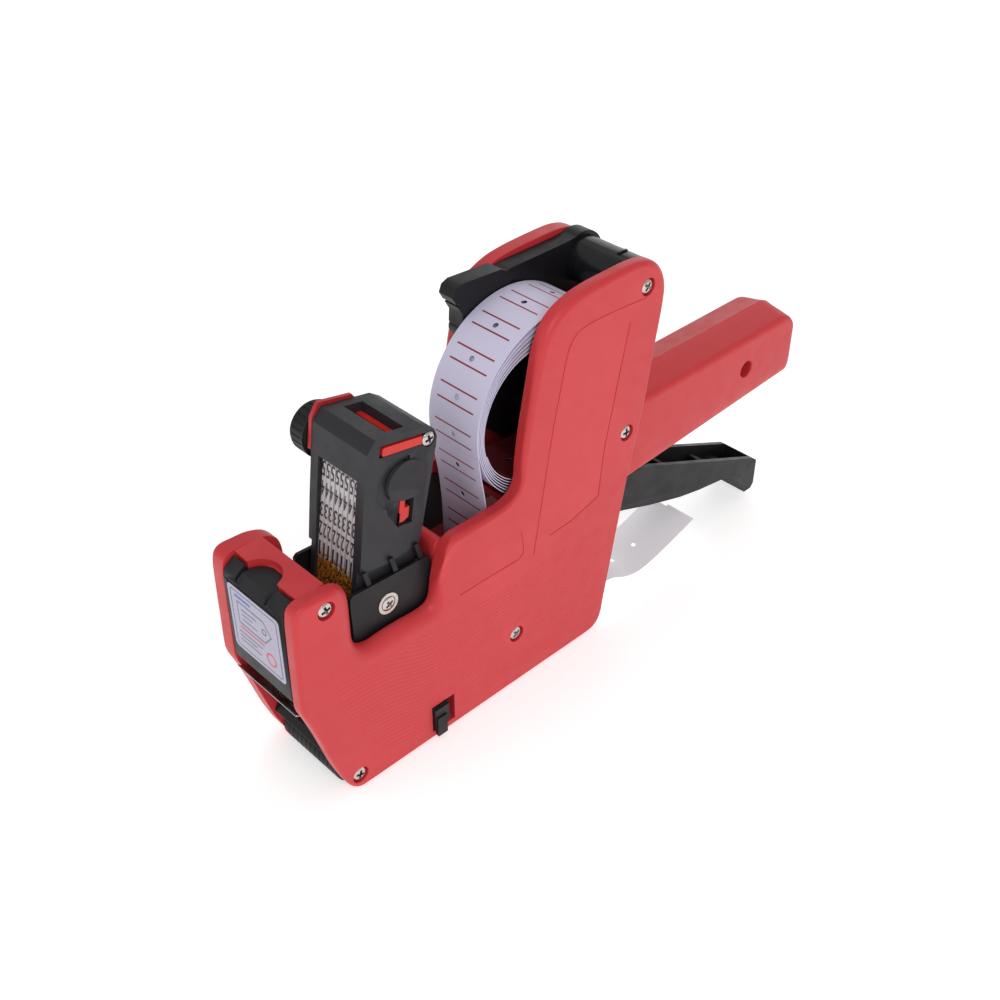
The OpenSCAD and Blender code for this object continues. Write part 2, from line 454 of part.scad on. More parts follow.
// flat rod from the trigger's crank to the print arm's crank
module drive_link() color([0.70,0.70,0.71]) frame() difference() {
  slab(9.3,11.3) polygon([[34.6,26.2],[34.6,32.4],[44,33.4],[96,38.4],[107.6,38.4],[107.6,32.0],[98,32.0],[50,28.8],[41.4,26.2]]);
  slab(0,20) polygon([[36.3,27.4],[36.3,31.2],[39.7,31.2],[39.7,27.4]]);
  slab(0,20) polygon([[102.3,33.4],[102.3,37.2],[105.7,37.2],[105.7,33.4]]);
}
module feed_pawl() color([0.68,0.68,0.69]) frame() difference() {
  union() {
    pin(feed_c,4.2,9.3,10.3);
    slab(9.3,10.3) polygon([feed_c+[1,4], feed_c+[4,1], feed_c+10.5*[cos(44),sin(44)], feed_c+10.5*[cos(56),sin(56)]]);
    slab(7.7,9.35) polygon([feed_c+9.0*[cos(46),sin(46)], feed_c+10.5*[cos(46),sin(46)], feed_c+10.5*[cos(55),sin(55)], feed_c+9.3*[cos(55),sin(55)]]);
  }
  pin(feed_c,2.05,-20,20);
}
function tooth(k,n,r0,r1) = [feed_c+r1*[cos(k*360/n),sin(k*360/n)], feed_c+r0*[cos((k+0.16)*360/n),sin((k+0.16)*360/n)]];
module feed_wheel() color([0.15,0.15,0.16]) frame() difference() {
  union() {
    pin(feed_c,9.0,-13.2,-8.2); pin(feed_c,7.2,-8.3,2.5); pin(feed_c,9.0,2.4,7.4);
    // ratchet ring beside the wheel
    slab(7.3,9.0) polygon([for (k=[0:15]) each [feed_c+8.6*[cos(k*22.5),sin(k*22.5)], feed_c+7.3*[cos(k*22.5+5),sin(k*22.5+5)]]]);
    // studs that draw the liner
    for (k=[0:4]) for (y=[-2.9]) translate([feed_c[0],y,feed_c[1]]) rotate([0,k*72+20,0]) translate([7,0,0]) rotate([0,90,0]) cylinder(r=0.8,h=2.0);
  }
  pin(feed_c,2.05,-20,20);
}
module nose_roller() color([0.12,0.12,0.13]) frame() difference() {
  union() {
    pin(nose_c,nose_r-0.5,-iw+0.4,iw-0.9);
    for (y=[-13.2:2.2:12]) pin(nose_c,nose_r,y,y+1.2);
  }
  pin(nose_c,2.05,-20,20);
}

left_side_shell();
right_side_shell();
mid_wall();
inner_guide();
roll_cradle();
hinge_tube();
case_screws();
trigger_pin();
arm_shaft();
feed_axle();
guide_roller();
guide_axle();
nose_shaft();
bottom_hinge_pin();
platen();
peel_plate();
nose_guide();
label_strip();
liner_tail();
trigger_spring();
roll_cover();
label_roll();
print_arm();
head_case();
head_side_cap();
head_lock_bar();
head_screws();
number_bands();
band_wheels();
type_guide();
band_spacer();
selector_knob();
selector_shaft();
selector_pointer();
front_cover();
cover_sticker();
ink_roller();
ink_roller_shaft();
bottom_cover();
bottom_latch();
trigger();
drive_link();
feed_pawl();
feed_wheel();
nose_roller();
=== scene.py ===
import math
import bpy
import bmesh
import numpy as np
from mathutils import Matrix, Vector
from mathutils.geometry import delaunay_2d_cdt

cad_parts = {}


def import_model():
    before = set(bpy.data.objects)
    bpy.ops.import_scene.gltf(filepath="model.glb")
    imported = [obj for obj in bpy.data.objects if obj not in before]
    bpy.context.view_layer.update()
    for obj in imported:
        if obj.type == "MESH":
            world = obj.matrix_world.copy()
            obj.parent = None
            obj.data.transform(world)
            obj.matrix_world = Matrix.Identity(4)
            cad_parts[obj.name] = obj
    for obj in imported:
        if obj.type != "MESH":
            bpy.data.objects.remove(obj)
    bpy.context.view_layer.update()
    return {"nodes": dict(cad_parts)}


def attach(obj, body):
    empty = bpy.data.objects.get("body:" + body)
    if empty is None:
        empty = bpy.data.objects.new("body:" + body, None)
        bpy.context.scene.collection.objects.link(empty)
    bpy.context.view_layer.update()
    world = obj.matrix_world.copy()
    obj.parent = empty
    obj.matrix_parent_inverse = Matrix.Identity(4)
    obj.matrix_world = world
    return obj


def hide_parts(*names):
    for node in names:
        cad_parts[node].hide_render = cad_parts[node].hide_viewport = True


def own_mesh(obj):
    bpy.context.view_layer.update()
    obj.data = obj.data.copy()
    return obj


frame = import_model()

scene = bpy.context.scene
MM, XM = 0.001, 93.0
HW, HR, IW = 18.9, 20.52, 14.4   # outer faces of the left and right shell, inner face of both, mm
WEB_Y, WEB_W = -2.9, 21.0    # label web


def P(x, y, z):
    return Vector(((x - XM) * MM, y * MM, z * MM))


# ------------------------------------------------------------------ camera
cam = bpy.data.objects.new("camera", bpy.data.cameras.new("camera"))
scene.collection.objects.link(cam)
right = Vector((0.72154, -0.69237, -0.00045))
down = Vector((-0.41497, -0.43193, -0.80078))
fwd = Vector((0.55424, 0.57798, -0.59896))
cam.matrix_world = Matrix((
    (right.x, -down.x, -fwd.x, -0.253415),
    (right.y, -down.y, -fwd.y, -0.240081),
    (right.z, -down.z, -fwd.z, 0.309815),
    (0, 0, 0, 1)))
cam.data.sensor_width = 36
cam.data.lens = 46.34
cam.data.clip_start = 0.01
scene.camera = cam

# ------------------------------------------------------------------ stage and light
world = bpy.data.worlds.new("studio")
scene.world = world
world.use_nodes = True
world.node_tree.nodes["Background"].inputs[0].default_value = (1, 1, 1, 1)
world.node_tree.nodes["Background"].inputs[1].default_value = 0.50
scene.view_settings.view_transform = "Standard"


def area(name, loc, target, size, power, color=(1, 1, 1)):
    d = bpy.data.lights.new(name, "AREA")
    d.shape = "RECTANGLE"; d.size = size; d.size_y = size; d.energy = power; d.color = color
    o = bpy.data.objects.new(name, d)
    scene.collection.objects.link(o)
    o.location = loc
    o.rotation_euler = (Vector(target) - Vector(loc)).to_track_quat("-Z", "Y").to_euler()
    return o


area("key", (-0.42, -1.0, 0.72), (0, 0, 0.06), 0.7, 5.3)
area("fill", (-1.0, 0.15, 0.45), (0, 0, 0.06), 0.8, 1.3)
area("top", (0.25, 0.2, 1.2), (0, 0, 0.05), 0.8, 1.5)
area("rear", (0.9, 0.5, 0.5), (0, 0, 0.06), 0.7, 1.3)


# ------------------------------------------------------------------ materials
def mat(name, color, rough=0.4, vary=0.06, rough_vary=0.08, grain=2200, bump=0.05, spec=0.5,
        metallic=0.0, coat=0.0, edge_highlight=0.0, scratch=0.0, extra=None):
    m = bpy.data.materials.new(name)
    m.use_nodes = True
    nt = m.node_tree
    N, L = nt.nodes, nt.links
    b = N["Principled BSDF"]
    b.inputs["Metallic"].default_value = metallic
    b.inputs["Specular IOR Level"].default_value = spec
    b.inputs["Coat Weight"].default_value = coat
    b.inputs["Coat Roughness"].default_value = 0.15
    tc = N.new("ShaderNodeTexCoord")
    big = N.new("ShaderNodeTexNoise"); big.inputs["Scale"].default_value = 45; big.inputs["Detail"].default_value = 4
    L.new(tc.outputs["Object"], big.inputs["Vector"])
    ramp = N.new("ShaderNodeMix"); ramp.data_type = "RGBA"
    c = np.array(color)
    ramp.inputs["A"].default_value = (*np.clip(c * (1 - vary), 0, 1), 1)
    ramp.inputs["B"].default_value = (*np.clip(c * (1 + vary), 0, 1), 1)
    L.new(big.outputs["Fac"], ramp.inputs["Factor"])
    col = ramp.outputs["Result"]
    fine = N.new("ShaderNodeTexNoise"); fine.inputs["Scale"].default_value = grain; fine.inputs["Detail"].default_value = 3
    L.new(tc.outputs["Object"], fine.inputs["Vector"])
    mid = N.new("ShaderNodeTexNoise"); mid.inputs["Scale"].default_value = 160; mid.inputs["Detail"].default_value = 6
    L.new(tc.outputs["Object"], mid.inputs["Vector"])
    mr = N.new("ShaderNodeMapRange")
    mr.inputs["From Min"].default_value = 0.3; mr.inputs["From Max"].default_value = 0.7
    mr.inputs["To Min"].default_value = max(0.03, rough - rough_vary); mr.inputs["To Max"].default_value = rough + rough_vary
    L.new(mid.outputs["Fac"], mr.inputs["Value"])
    L.new(mr.outputs["Result"], b.inputs["Roughness"])
    bp = N.new("ShaderNodeBump"); bp.inputs["Strength"].default_value = bump; bp.inputs["Distance"].default_value = 0.0003
    L.new(fine.outputs["Fac"], bp.inputs["Height"])
    last = bp
    if scratch:
        sc = N.new("ShaderNodeTexNoise"); sc.inputs["Scale"].default_value = 90; sc.inputs["Detail"].default_value = 8
        sc.inputs["Roughness"].default_value = 0.75
        mp = N.new("ShaderNodeMapping"); mp.inputs["Scale"].default_value = (1, 1, 9)
        L.new(tc.outputs["Object"], mp.inputs["Vector"]); L.new(mp.outputs["Vector"], sc.inputs["Vector"])
        b2 = N.new("ShaderNodeBump"); b2.inputs["Strength"].default_value = scratch; b2.inputs["Distance"].default_value = 0.0002
        L.new(sc.outputs["Fac"], b2.inputs["Height"]); L.new(bp.outputs["Normal"], b2.inputs["Normal"])
        last = b2
    L.new(last.outputs["Normal"], b.inputs["Normal"])
    # painted highlight: convex edges (high pointiness) are mixed towards a lighter colour, standing in for the sheen
    # along rounded edges
    if edge_highlight:
        ge = N.new("ShaderNodeNewGeometry")
        wr = N.new("ShaderNodeMapRange")
        wr.inputs["From Min"].default_value = 0.52; wr.inputs["From Max"].default_value = 0.64
        wr.inputs["To Max"].default_value = edge_highlight
        L.new(ge.outputs["Pointiness"], wr.inputs["Value"])
        mw = N.new("ShaderNodeMix"); mw.data_type = "RGBA"
        mw.inputs["B"].default_value = (*np.clip(c * 1.4 + 0.022, 0, 1), 1)
        L.new(wr.outputs["Result"], mw.inputs["Factor"]); L.new(col, mw.inputs["A"])
        col = mw.outputs["Result"]
    if extra:
        col = extra(N, L, tc, col)
    L.new(col, b.inputs["Base Color"])
    return m


RED = mat("red_abs", (0.555, 0.034, 0.040), rough=0.42, vary=0.05, bump=0.10, spec=0.34, edge_highlight=0.25, scratch=0.03)
# painted shade: a darker copy of the red ABS for the roll cradle inside the body
RED_SHADED = mat("red_abs_painted_shade", (0.46, 0.026, 0.03), rough=0.45, vary=0.06, bump=0.10, spec=0.3)
BRIGHT = mat("bright_red", (0.60, 0.024, 0.016), rough=0.3, vary=0.04, bump=0.05, spec=0.34)
CAP = mat("deep_red", (0.42, 0.02, 0.022), rough=0.34, vary=0.05, bump=0.06, spec=0.34)
BLACK = mat("black_plastic", (0.009, 0.009, 0.011), rough=0.42, vary=0.15, bump=0.12, spec=0.22, edge_highlight=0.4, scratch=0.04)
GLOSSY = mat("glossy_black", (0.010, 0.010, 0.012), rough=0.22, vary=0.1, bump=0.03, spec=0.36, scratch=0.03)
GREY = mat("dark_grey_plastic", (0.015, 0.015, 0.019), rough=0.46, vary=0.12, bump=0.16, spec=0.26, edge_highlight=0.4, scratch=0.05)
NICKEL = mat("nickel", (0.56, 0.52, 0.50), rough=0.24, vary=0.08, metallic=1.0, bump=0.06, scratch=0.08)
# painted shade: a dark copy of the nickel for the faces inside the screw crosses
RECESS_SHADE = mat("screw_recess_painted_shade", (0.15, 0.13, 0.13), rough=0.42, vary=0.2, metallic=1.0, bump=0.10)
STEEL = mat("steel", (0.6, 0.6, 0.62), rough=0.3, vary=0.06, metallic=1.0, bump=0.05, scratch=0.15)
WHITE = mat("wheel_white", (0.7, 0.69, 0.65), rough=0.5)
DEEP = mat("deep_black", (0.005, 0.005, 0.005), rough=0.35, vary=0.1, bump=0.05, spec=0.16)
RUBBER = mat("roller_rubber", (0.009, 0.009, 0.010), rough=0.5, bump=0.2, spec=0.25)
INK = mat("ink_felt", (0.16, 0.05, 0.01), rough=0.8, vary=0.4, bump=0.5, grain=900)
PAPER = mat("label_paper", (0.62, 0.585, 0.75), rough=0.55, vary=0.035, bump=0.06, grain=3000)
# painted shade and painted red reflection: dark red for the inner side of the innermost wrap, where light hardly
# reaches
ROLL_INNER_SHADE = mat("roll_inner_painted_shade", (0.16, 0.020, 0.024), rough=0.6, vary=0.2, bump=0.08)
PAPER_LINE = mat("label_line", (0.26, 0.014, 0.035), rough=0.6, vary=0.2, bump=0.05)
LINER = mat("liner_paper", (0.93, 0.92, 0.96), rough=0.34, vary=0.05, bump=0.05, grain=2600)
# painted light: a faint white glow lifts the liner tail, which lies in shade behind the body
LINER.node_tree.nodes["Principled BSDF"].inputs["Emission Color"].default_value = (0.98, 0.96, 1.0, 1)
LINER.node_tree.nodes["Principled BSDF"].inputs["Emission Strength"].default_value = 0.11
STICK = mat("sticker_film", (0.38, 0.36, 0.47), rough=0.3, vary=0.03, bump=0.03)
NAVY = mat("sticker_navy", (0.05, 0.055, 0.14), rough=0.35, vary=0.1)
ST_RED = mat("sticker_red", (0.6, 0.06, 0.08), rough=0.35, vary=0.1)
ST_BLUE = mat("sticker_blue", (0.05, 0.12, 0.45), rough=0.35, vary=0.1)
TYPE = mat("type_black", (0.03, 0.025, 0.03), rough=0.5, vary=0.2, bump=0.2)


def inked(N, L, tc, col):
    sx = N.new("ShaderNodeSeparateXYZ"); L.new(tc.outputs["Object"], sx.inputs[0])
    nz = N.new("ShaderNodeTexNoise"); nz.inputs["Scale"].default_value = 900; nz.inputs["Detail"].default_value = 6
    L.new(tc.outputs["Object"], nz.inputs["Vector"])
    ad = N.new("ShaderNodeMath"); ad.operation = "MULTIPLY_ADD"
    L.new(nz.outputs["Fac"], ad.inputs[0]); ad.inputs[1].default_value = 0.010
    L.new(sx.outputs["Z"], ad.inputs[2])
    r = N.new("ShaderNodeMapRange")
    r.inputs["From Min"].default_value = 0.0762; r.inputs["From Max"].default_value = 0.0778
    r.inputs["To Min"].default_value = 1.0; r.inputs["To Max"].default_value = 0.0
    L.new(ad.outputs[0], r.inputs["Value"])
    n2 = N.new("ShaderNodeTexNoise"); n2.inputs["Scale"].default_value = 1300; n2.inputs["Detail"].default_value = 5
    L.new(tc.outputs["Object"], n2.inputs["Vector"])
    cr = N.new("ShaderNodeValToRGB")
    cr.color_ramp.elements[0].position = 0.42; cr.color_ramp.elements[0].color = (0.03, 0.012, 0.006, 1)
    cr.color_ramp.elements[1].position = 0.56; cr.color_ramp.elements[1].color = (0.52, 0.2, 0.012, 1)
    L.new(n2.outputs["Fac"], cr.inputs["Fac"])
    mx = N.new("ShaderNodeMix"); mx.data_type = "RGBA"
    L.new(r.outputs["Result"], mx.inputs["Factor"]); L.new(col, mx.inputs["A"]); L.new(cr.outputs["Color"], mx.inputs["B"])
    return mx.outputs["Result"]


BAND = mat("band_rubber", (0.60, 0.57, 0.58), rough=0.6, vary=0.12, bump=0.3, grain=1600, extra=inked)

floor_m = bpy.data.materials.new("floor"); floor_m.use_nodes = True
floor_m.node_tree.nodes["Principled BSDF"].inputs["Base Color"].default_value = (0.94, 0.94, 0.94, 1)
floor_m.node_tree.nodes["Principled BSDF"].inputs["Roughness"].default_value = 0.9
floor_m.node_tree.nodes["Principled BSDF"].inputs["Emission Color"].default_value = (1, 1, 1, 1)
floor_m.node_tree.nodes["Principled BSDF"].inputs["Emission Strength"].default_value = 0.42
bm = bmesh.new(); bmesh.ops.create_grid(bm, x_segments=2, y_segments=2, size=4.0)
me = bpy.data.meshes.new("floor"); bm.to_mesh(me); bm.free()
floor = bpy.data.objects.new("floor", me); scene.collection.objects.link(floor)
floor.location.z = -0.0003
me.materials.append(floor_m)


# ------------------------------------------------------------------ mesh helpers
class Geo:
    """Vertices in mm and faces, gathered before they become one piece."""
    def __init__(self):
        self.v, self.f = [], []

    def add(self, vs, fs):
        o = len(self.v)
        self.v += [tuple(map(float, q)) for q in vs]
        self.f += [tuple(o + i for i in f) for f in fs]

    def prism(self, poly, y0, y1):
        n = len(poly)
        vs = [(x, y0, z) for x, z in poly] + [(x, y1, z) for x, z in poly]
        fs = [tuple(range(n)), tuple(range(2 * n - 1, n - 1, -1))]
        fs += [(i, i + n, (i + 1) % n + n, (i + 1) % n) for i in range(n)]
        self.add(vs, fs)

    def cyl(self, c, r, y0, y1, n=40):
        self.prism([(c[0] + r * math.cos(2 * math.pi * i / n), c[1] + r * math.sin(2 * math.pi * i / n)) for i in range(n)], y0, y1)

    def revolve(self, c, prof, n=40):
        """prof: (radius, y) list round the Y line through c = (x, z); closed at both ends."""
        vs, fs = [], []
        for r, y in prof:
            vs += [(c[0] + r * math.cos(2 * math.pi * i / n), y, c[1] + r * math.sin(2 * math.pi * i / n)) for i in range(n)]
        for j in range(len(prof) - 1):
            for i in range(n):
                fs.append((j * n + i, j * n + (i + 1) % n, (j + 1) * n + (i + 1) % n, (j + 1) * n + i))
        fs.append(tuple(range(n - 1, -1, -1)))
        fs.append(tuple((len(prof) - 1) * n + i for i in range(n)))
        self.add(vs, fs)

    def box(self, x0, y0, z0, x1, y1, z1):
        self.prism([(x0, z0), (x1, z0), (x1, z1), (x0, z1)], y0, y1)

    def rings(self, rings, close=True, caps=True):
        n = len(rings[0]); vs = [p for r in rings for p in r]; fs = []
        for j in range(len(rings) - 1):
            for i in range(n if close else n - 1):
                fs.append((j * n + i, j * n + (i + 1) % n, (j + 1) * n + (i + 1) % n, (j + 1) * n + i))
        if caps:
            fs.append(tuple(range(n - 1, -1, -1)))
            fs.append(tuple((len(rings) - 1) * n + i for i in range(n)))
        self.add(vs, fs)

    def tube(self, pts, r, n=8, flat=None):
        """round tube along 3-D points (mm)"""
        pts = [np.array(p, float) for p in pts]; rings = []
        ref = np.array([0, 1.0, 0])
        for i, p in enumerate(pts):
            t = pts[min(i + 1, len(pts) - 1)] - pts[max(i - 1, 0)]; t /= np.linalg.norm(t)
            a = np.cross(t, ref)
            if np.linalg.norm(a) < 1e-6: a = np.array([1.0, 0, 0])
            a /= np.linalg.norm(a); b = np.cross(t, a)
            ry = flat if flat is not None else r
            rings.append([tuple(p + a * r * math.cos(2 * math.pi * k / n) + b * ry * math.sin(2 * math.pi * k / n)) for k in range(n)])
        self.rings(rings)

    def mesh(self, name):
        me = bpy.data.meshes.new(name)
        me.from_pydata([tuple(P(*q)) for q in self.v], [], self.f)
        me.update()
        b = bmesh.new(); b.from_mesh(me)
        bmesh.ops.recalc_face_normals(b, faces=b.faces)
        b.to_mesh(me); b.free()
        return me


def obj(name, me, m=None, angle=32, wn=True):
    o = bpy.data.objects.new(name, me)
    scene.collection.objects.link(o)
    if m:
        me.materials.append(m)
    me.shade_smooth()
    me.set_sharp_from_angle(angle=math.radians(angle))
    if wn:
        w = o.modifiers.new("wn", "WEIGHTED_NORMAL"); w.keep_sharp = True; w.weight = 60
    return o


def boolean(o, cutter, op="DIFFERENCE"):
    md = o.modifiers.new("b", "BOOLEAN"); md.object = cutter; md.operation = op; md.solver = "EXACT"
    bpy.context.view_layer.update()
    dg = bpy.context.evaluated_depsgraph_get()
    me = bpy.data.meshes.new_from_object(o.evaluated_get(dg))
    o.modifiers.remove(md)
    old = o.data; o.data = me
    bpy.data.meshes.remove(old)
    cm = cutter.data
    bpy.data.objects.remove(cutter)
    bpy.data.meshes.remove(cm)
    return o


def raw(name, geo):
    o = bpy.data.objects.new(name, geo.mesh(name)); scene.collection.objects.link(o)
    return o


def settle(o, m, body, angle=32, nodes=(), wn=True):
    """materials, shading and body of a finished piece; the CAD nodes it stands for are hidden"""
    me = o.data
    me.materials.clear()
    for k in (m if isinstance(m, (list, tuple)) else [m]):
        me.materials.append(k)
    me.shade_smooth()
    me.set_sharp_from_angle(angle=math.radians(angle))
    if wn and "wn" not in o.modifiers:
        w = o.modifiers.new("wn", "WEIGHTED_NORMAL"); w.keep_sharp = True; w.weight = 60
    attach(o, body)
    if nodes:
        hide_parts(*nodes)
    return o


def from_node(node, m, body, r=0.4, segs=2, angle=35, sharp=32, name=None, big=None, short=0.0, shape=None):
    """a CAD node's own shape with its edges rounded"""
    src = frame["nodes"][node]
    b = bmesh.new(); b.from_mesh(src.data)
    bmesh.ops.remove_doubles(b, verts=b.verts, dist=2e-6)
    bmesh.ops.dissolve_limit(b, angle_limit=math.radians(0.4), verts=b.verts, edges=b.edges)
    if shape:
        for v in b.verts: shape(v)
    if big:
        es = [e for e in b.edges if len(e.link_faces) == 2 and e.calc_face_angle(0) > math.radians(angle) and e.calc_length() > big[0] * MM
              and (big[2] is None or big[2](e))]
        bmesh.ops.bevel(b, geom=es, offset=big[1] * MM, segments=4, profile=0.6, affect="EDGES", clamp_overlap=True)
    es = [e for e in b.edges if len(e.link_faces) == 2 and e.calc_face_angle(0) > math.radians(angle) and e.calc_length() > short * MM]
    if r > 0 and es:
        bmesh.ops.bevel(b, geom=es, offset=r * MM, segments=segs, profile=0.6, affect="EDGES", clamp_overlap=True)
    bmesh.ops.recalc_face_normals(b, faces=b.faces)
    me = bpy.data.meshes.new(name or node + "_look"); b.to_mesh(me); b.free()
    o = bpy.data.objects.new(name or node + "_look", me); scene.collection.objects.link(o)
    return settle(o, m, body, angle=sharp, nodes=(node,))


def dress(node, m):
    o = frame["nodes"][node]
    o.data.materials.clear(); o.data.materials.append(m)


def arc(c, r, a0, a1, n):
    return [(c[0] + r * math.cos(math.radians(a0 + (a1 - a0) * i / n)), c[1] + r * math.sin(math.radians(a0 + (a1 - a0) * i / n))) for i in range(n + 1)]


def smooth_closed(pts, step):
    """centripetal Catmull-Rom round a closed list of points of any dimension"""
    pts = [np.array(p, float) for p in pts]; n = len(pts); out = []
    for i in range(n):
        p0, p1, p2, p3 = pts[i - 1], pts[i], pts[(i + 1) % n], pts[(i + 2) % n]
        d = lambda a, b: max(np.linalg.norm((a - b)[:2]), 1e-3) ** 0.5
        t0 = 0; t1 = t0 + d(p0, p1); t2 = t1 + d(p1, p2); t3 = t2 + d(p2, p3)
        k = max(1, min(14, int(round(np.linalg.norm((p2 - p1)[:2]) / step))))
        for j in range(k):
            t = t1 + (t2 - t1) * j / k
            a1 = (t1 - t) / (t1 - t0) * p0 + (t - t0) / (t1 - t0) * p1
            a2 = (t2 - t) / (t2 - t1) * p1 + (t - t1) / (t2 - t1) * p2
            a3 = (t3 - t) / (t3 - t2) * p2 + (t - t2) / (t3 - t2) * p3
            b1 = (t2 - t) / (t2 - t0) * a1 + (t - t0) / (t2 - t0) * a2
            b2 = (t3 - t) / (t3 - t1) * a2 + (t - t1) / (t3 - t1) * a3
            out.append((t2 - t) / (t2 - t1) * b1 + (t - t1) / (t2 - t1) * b2)
    return out


def smooth_open(pts, step):
    a = [np.array(p, float) for p in pts]
    ext = [2 * a[0] - a[1]] + a + [2 * a[-1] - a[-2]]
    out = []
    for i in range(1, len(ext) - 2):
        p0, p1, p2, p3 = ext[i - 1:i + 3]
        k = max(1, int(math.ceil(np.linalg.norm(p2 - p1) / step)))
        for j in range(k):
            t = j / k
            out.append(0.5 * (2 * p1 + (p2 - p0) * t + (2 * p0 - 5 * p1 + 4 * p2 - p3) * t ** 2 + (3 * p1 - p0 - 3 * p2 + p3) * t ** 3))
    out.append(a[-1])
    return out


# ------------------------------------------------------------------ side shells
# rim of a side shell: inner edge x, z and the edge of the outer face x, z
RIM = [
    (-25.0, 45.2, -23.6, 45.6), (-24.9, 56, -23.4, 56), (-24.7, 68, -23.2, 68), (-24.3, 77.8, -22.8, 77.4), (-23.4, 80.9, -22.2, 79.9), (-21.2, 82.2, -20.7, 80.8),
    (-17, 82.3, -16.6, 80.6), (-11.6, 82.0, -12.6, 80.0), (-7.8, 80.8, -10.4, 78.2), (-5.2, 78.0, -10.6, 74.5), (-4.2, 74.0, -10.8, 70.4), (-4.0, 66, -10.6, 65.4),
    (-4.0, 59.4, -10.0, 61.2), (-3.4, 56.6, -8.6, 57.2), (-1.8, 54.6, -5.7, 53.2), (1.6, 53.5, -1.8, 49.8), (6, 53.8, 3.6, 48.6), (13, 53.9, 12.6, 48.5), (20, 53.6, 20.6, 48.5),
    (23.6, 54.0, 25.6, 48.8), (25.4, 55.6, 28.0, 50.8), (26.2, 58.6, 28.6, 54.4), (26.7, 62, 28.4, 60), (27.6, 66, 28.3, 66), (28.8, 69.6, 28.8, 69.4), (30.4, 73.4, 30.2, 72.4),
    (33.6, 75.6, 33.4, 73.6), (40, 75.8, 40, 73.9), (47.7, 75.9, 47.4, 74.2), (55, 76.4, 54.6, 75.0), (59.2, 78.4, 59.4, 77.2), (61.0, 81.6, 62.0, 81.2),
    (61.6, 88.1, 63.4, 88), (63, 98.2, 65.0, 98), (64.8, 107.8, 66.9, 107.6), (66.5, 116.6, 68.8, 116.2), (67.8, 123.0, 70.2, 122.2), (69.6, 127.8, 71.9, 126.2),
    (71.9, 131.4, 74.0, 129.4), (75.6, 134.3, 77.2, 132.0), (81.8, 136.6, 82.8, 134.3), (88.5, 137.6, 88.9, 135.3), (97, 138.0, 96.9, 135.9), (105, 138.2, 104.6, 136.2),
    (110, 138.0, 109.2, 136.1), (114.6, 137.0, 113.2, 135.2), (118.6, 134.6, 116.8, 133.0), (121.5, 130.8, 119.4, 129.6), (122.6, 126.2, 120.8, 125.6), (122.2, 120.5, 120.7, 120.4),
    (119.7, 104.6, 118.2, 104.8), (117.4, 89, 115.9, 89.2), (115.0, 77.0, 113.5, 77.2), (112.2, 65, 110.7, 65.2), (108.8, 47, 107.3, 47.2), (104.7, 23.5, 103.2, 23.8),
    (102.6, 11.5, 101.1, 11.8), (101.6, 5.8, 100.2, 6.2), (100.2, 2.4, 99.0, 3.6), (97.6, 0.4, 96.9, 1.9), (93.5, 0.0, 93.4, 1.4), (70, 0, 70, 1.4), (35, 0, 35, 1.4), (5, 0, 5, 1.4),
    (-4.0, 0.0, -3.9, 1.4), (-7.4, 0.1, -6.9, 1.6), (-9.9, 1.9, -8.9, 2.9), (-11.8, 4.8, -10.6, 5.4), (-13.4, 8.6, -12.2, 9.0), (-15.6, 14.6, -14.3, 14.9), (-18.2, 23.4, -16.9, 23.7),
    (-20.8, 32.2, -19.5, 32.4), (-23.4, 39.8, -22.1, 40.2), (-24.6, 43.0, -23.2, 43.3),
]
RIM = [(max(p[0], -25.0), max(p[1], 0.0), max(p[2], -25.0), max(p[3], 0.0)) for p in smooth_closed(RIM, 1.5)]


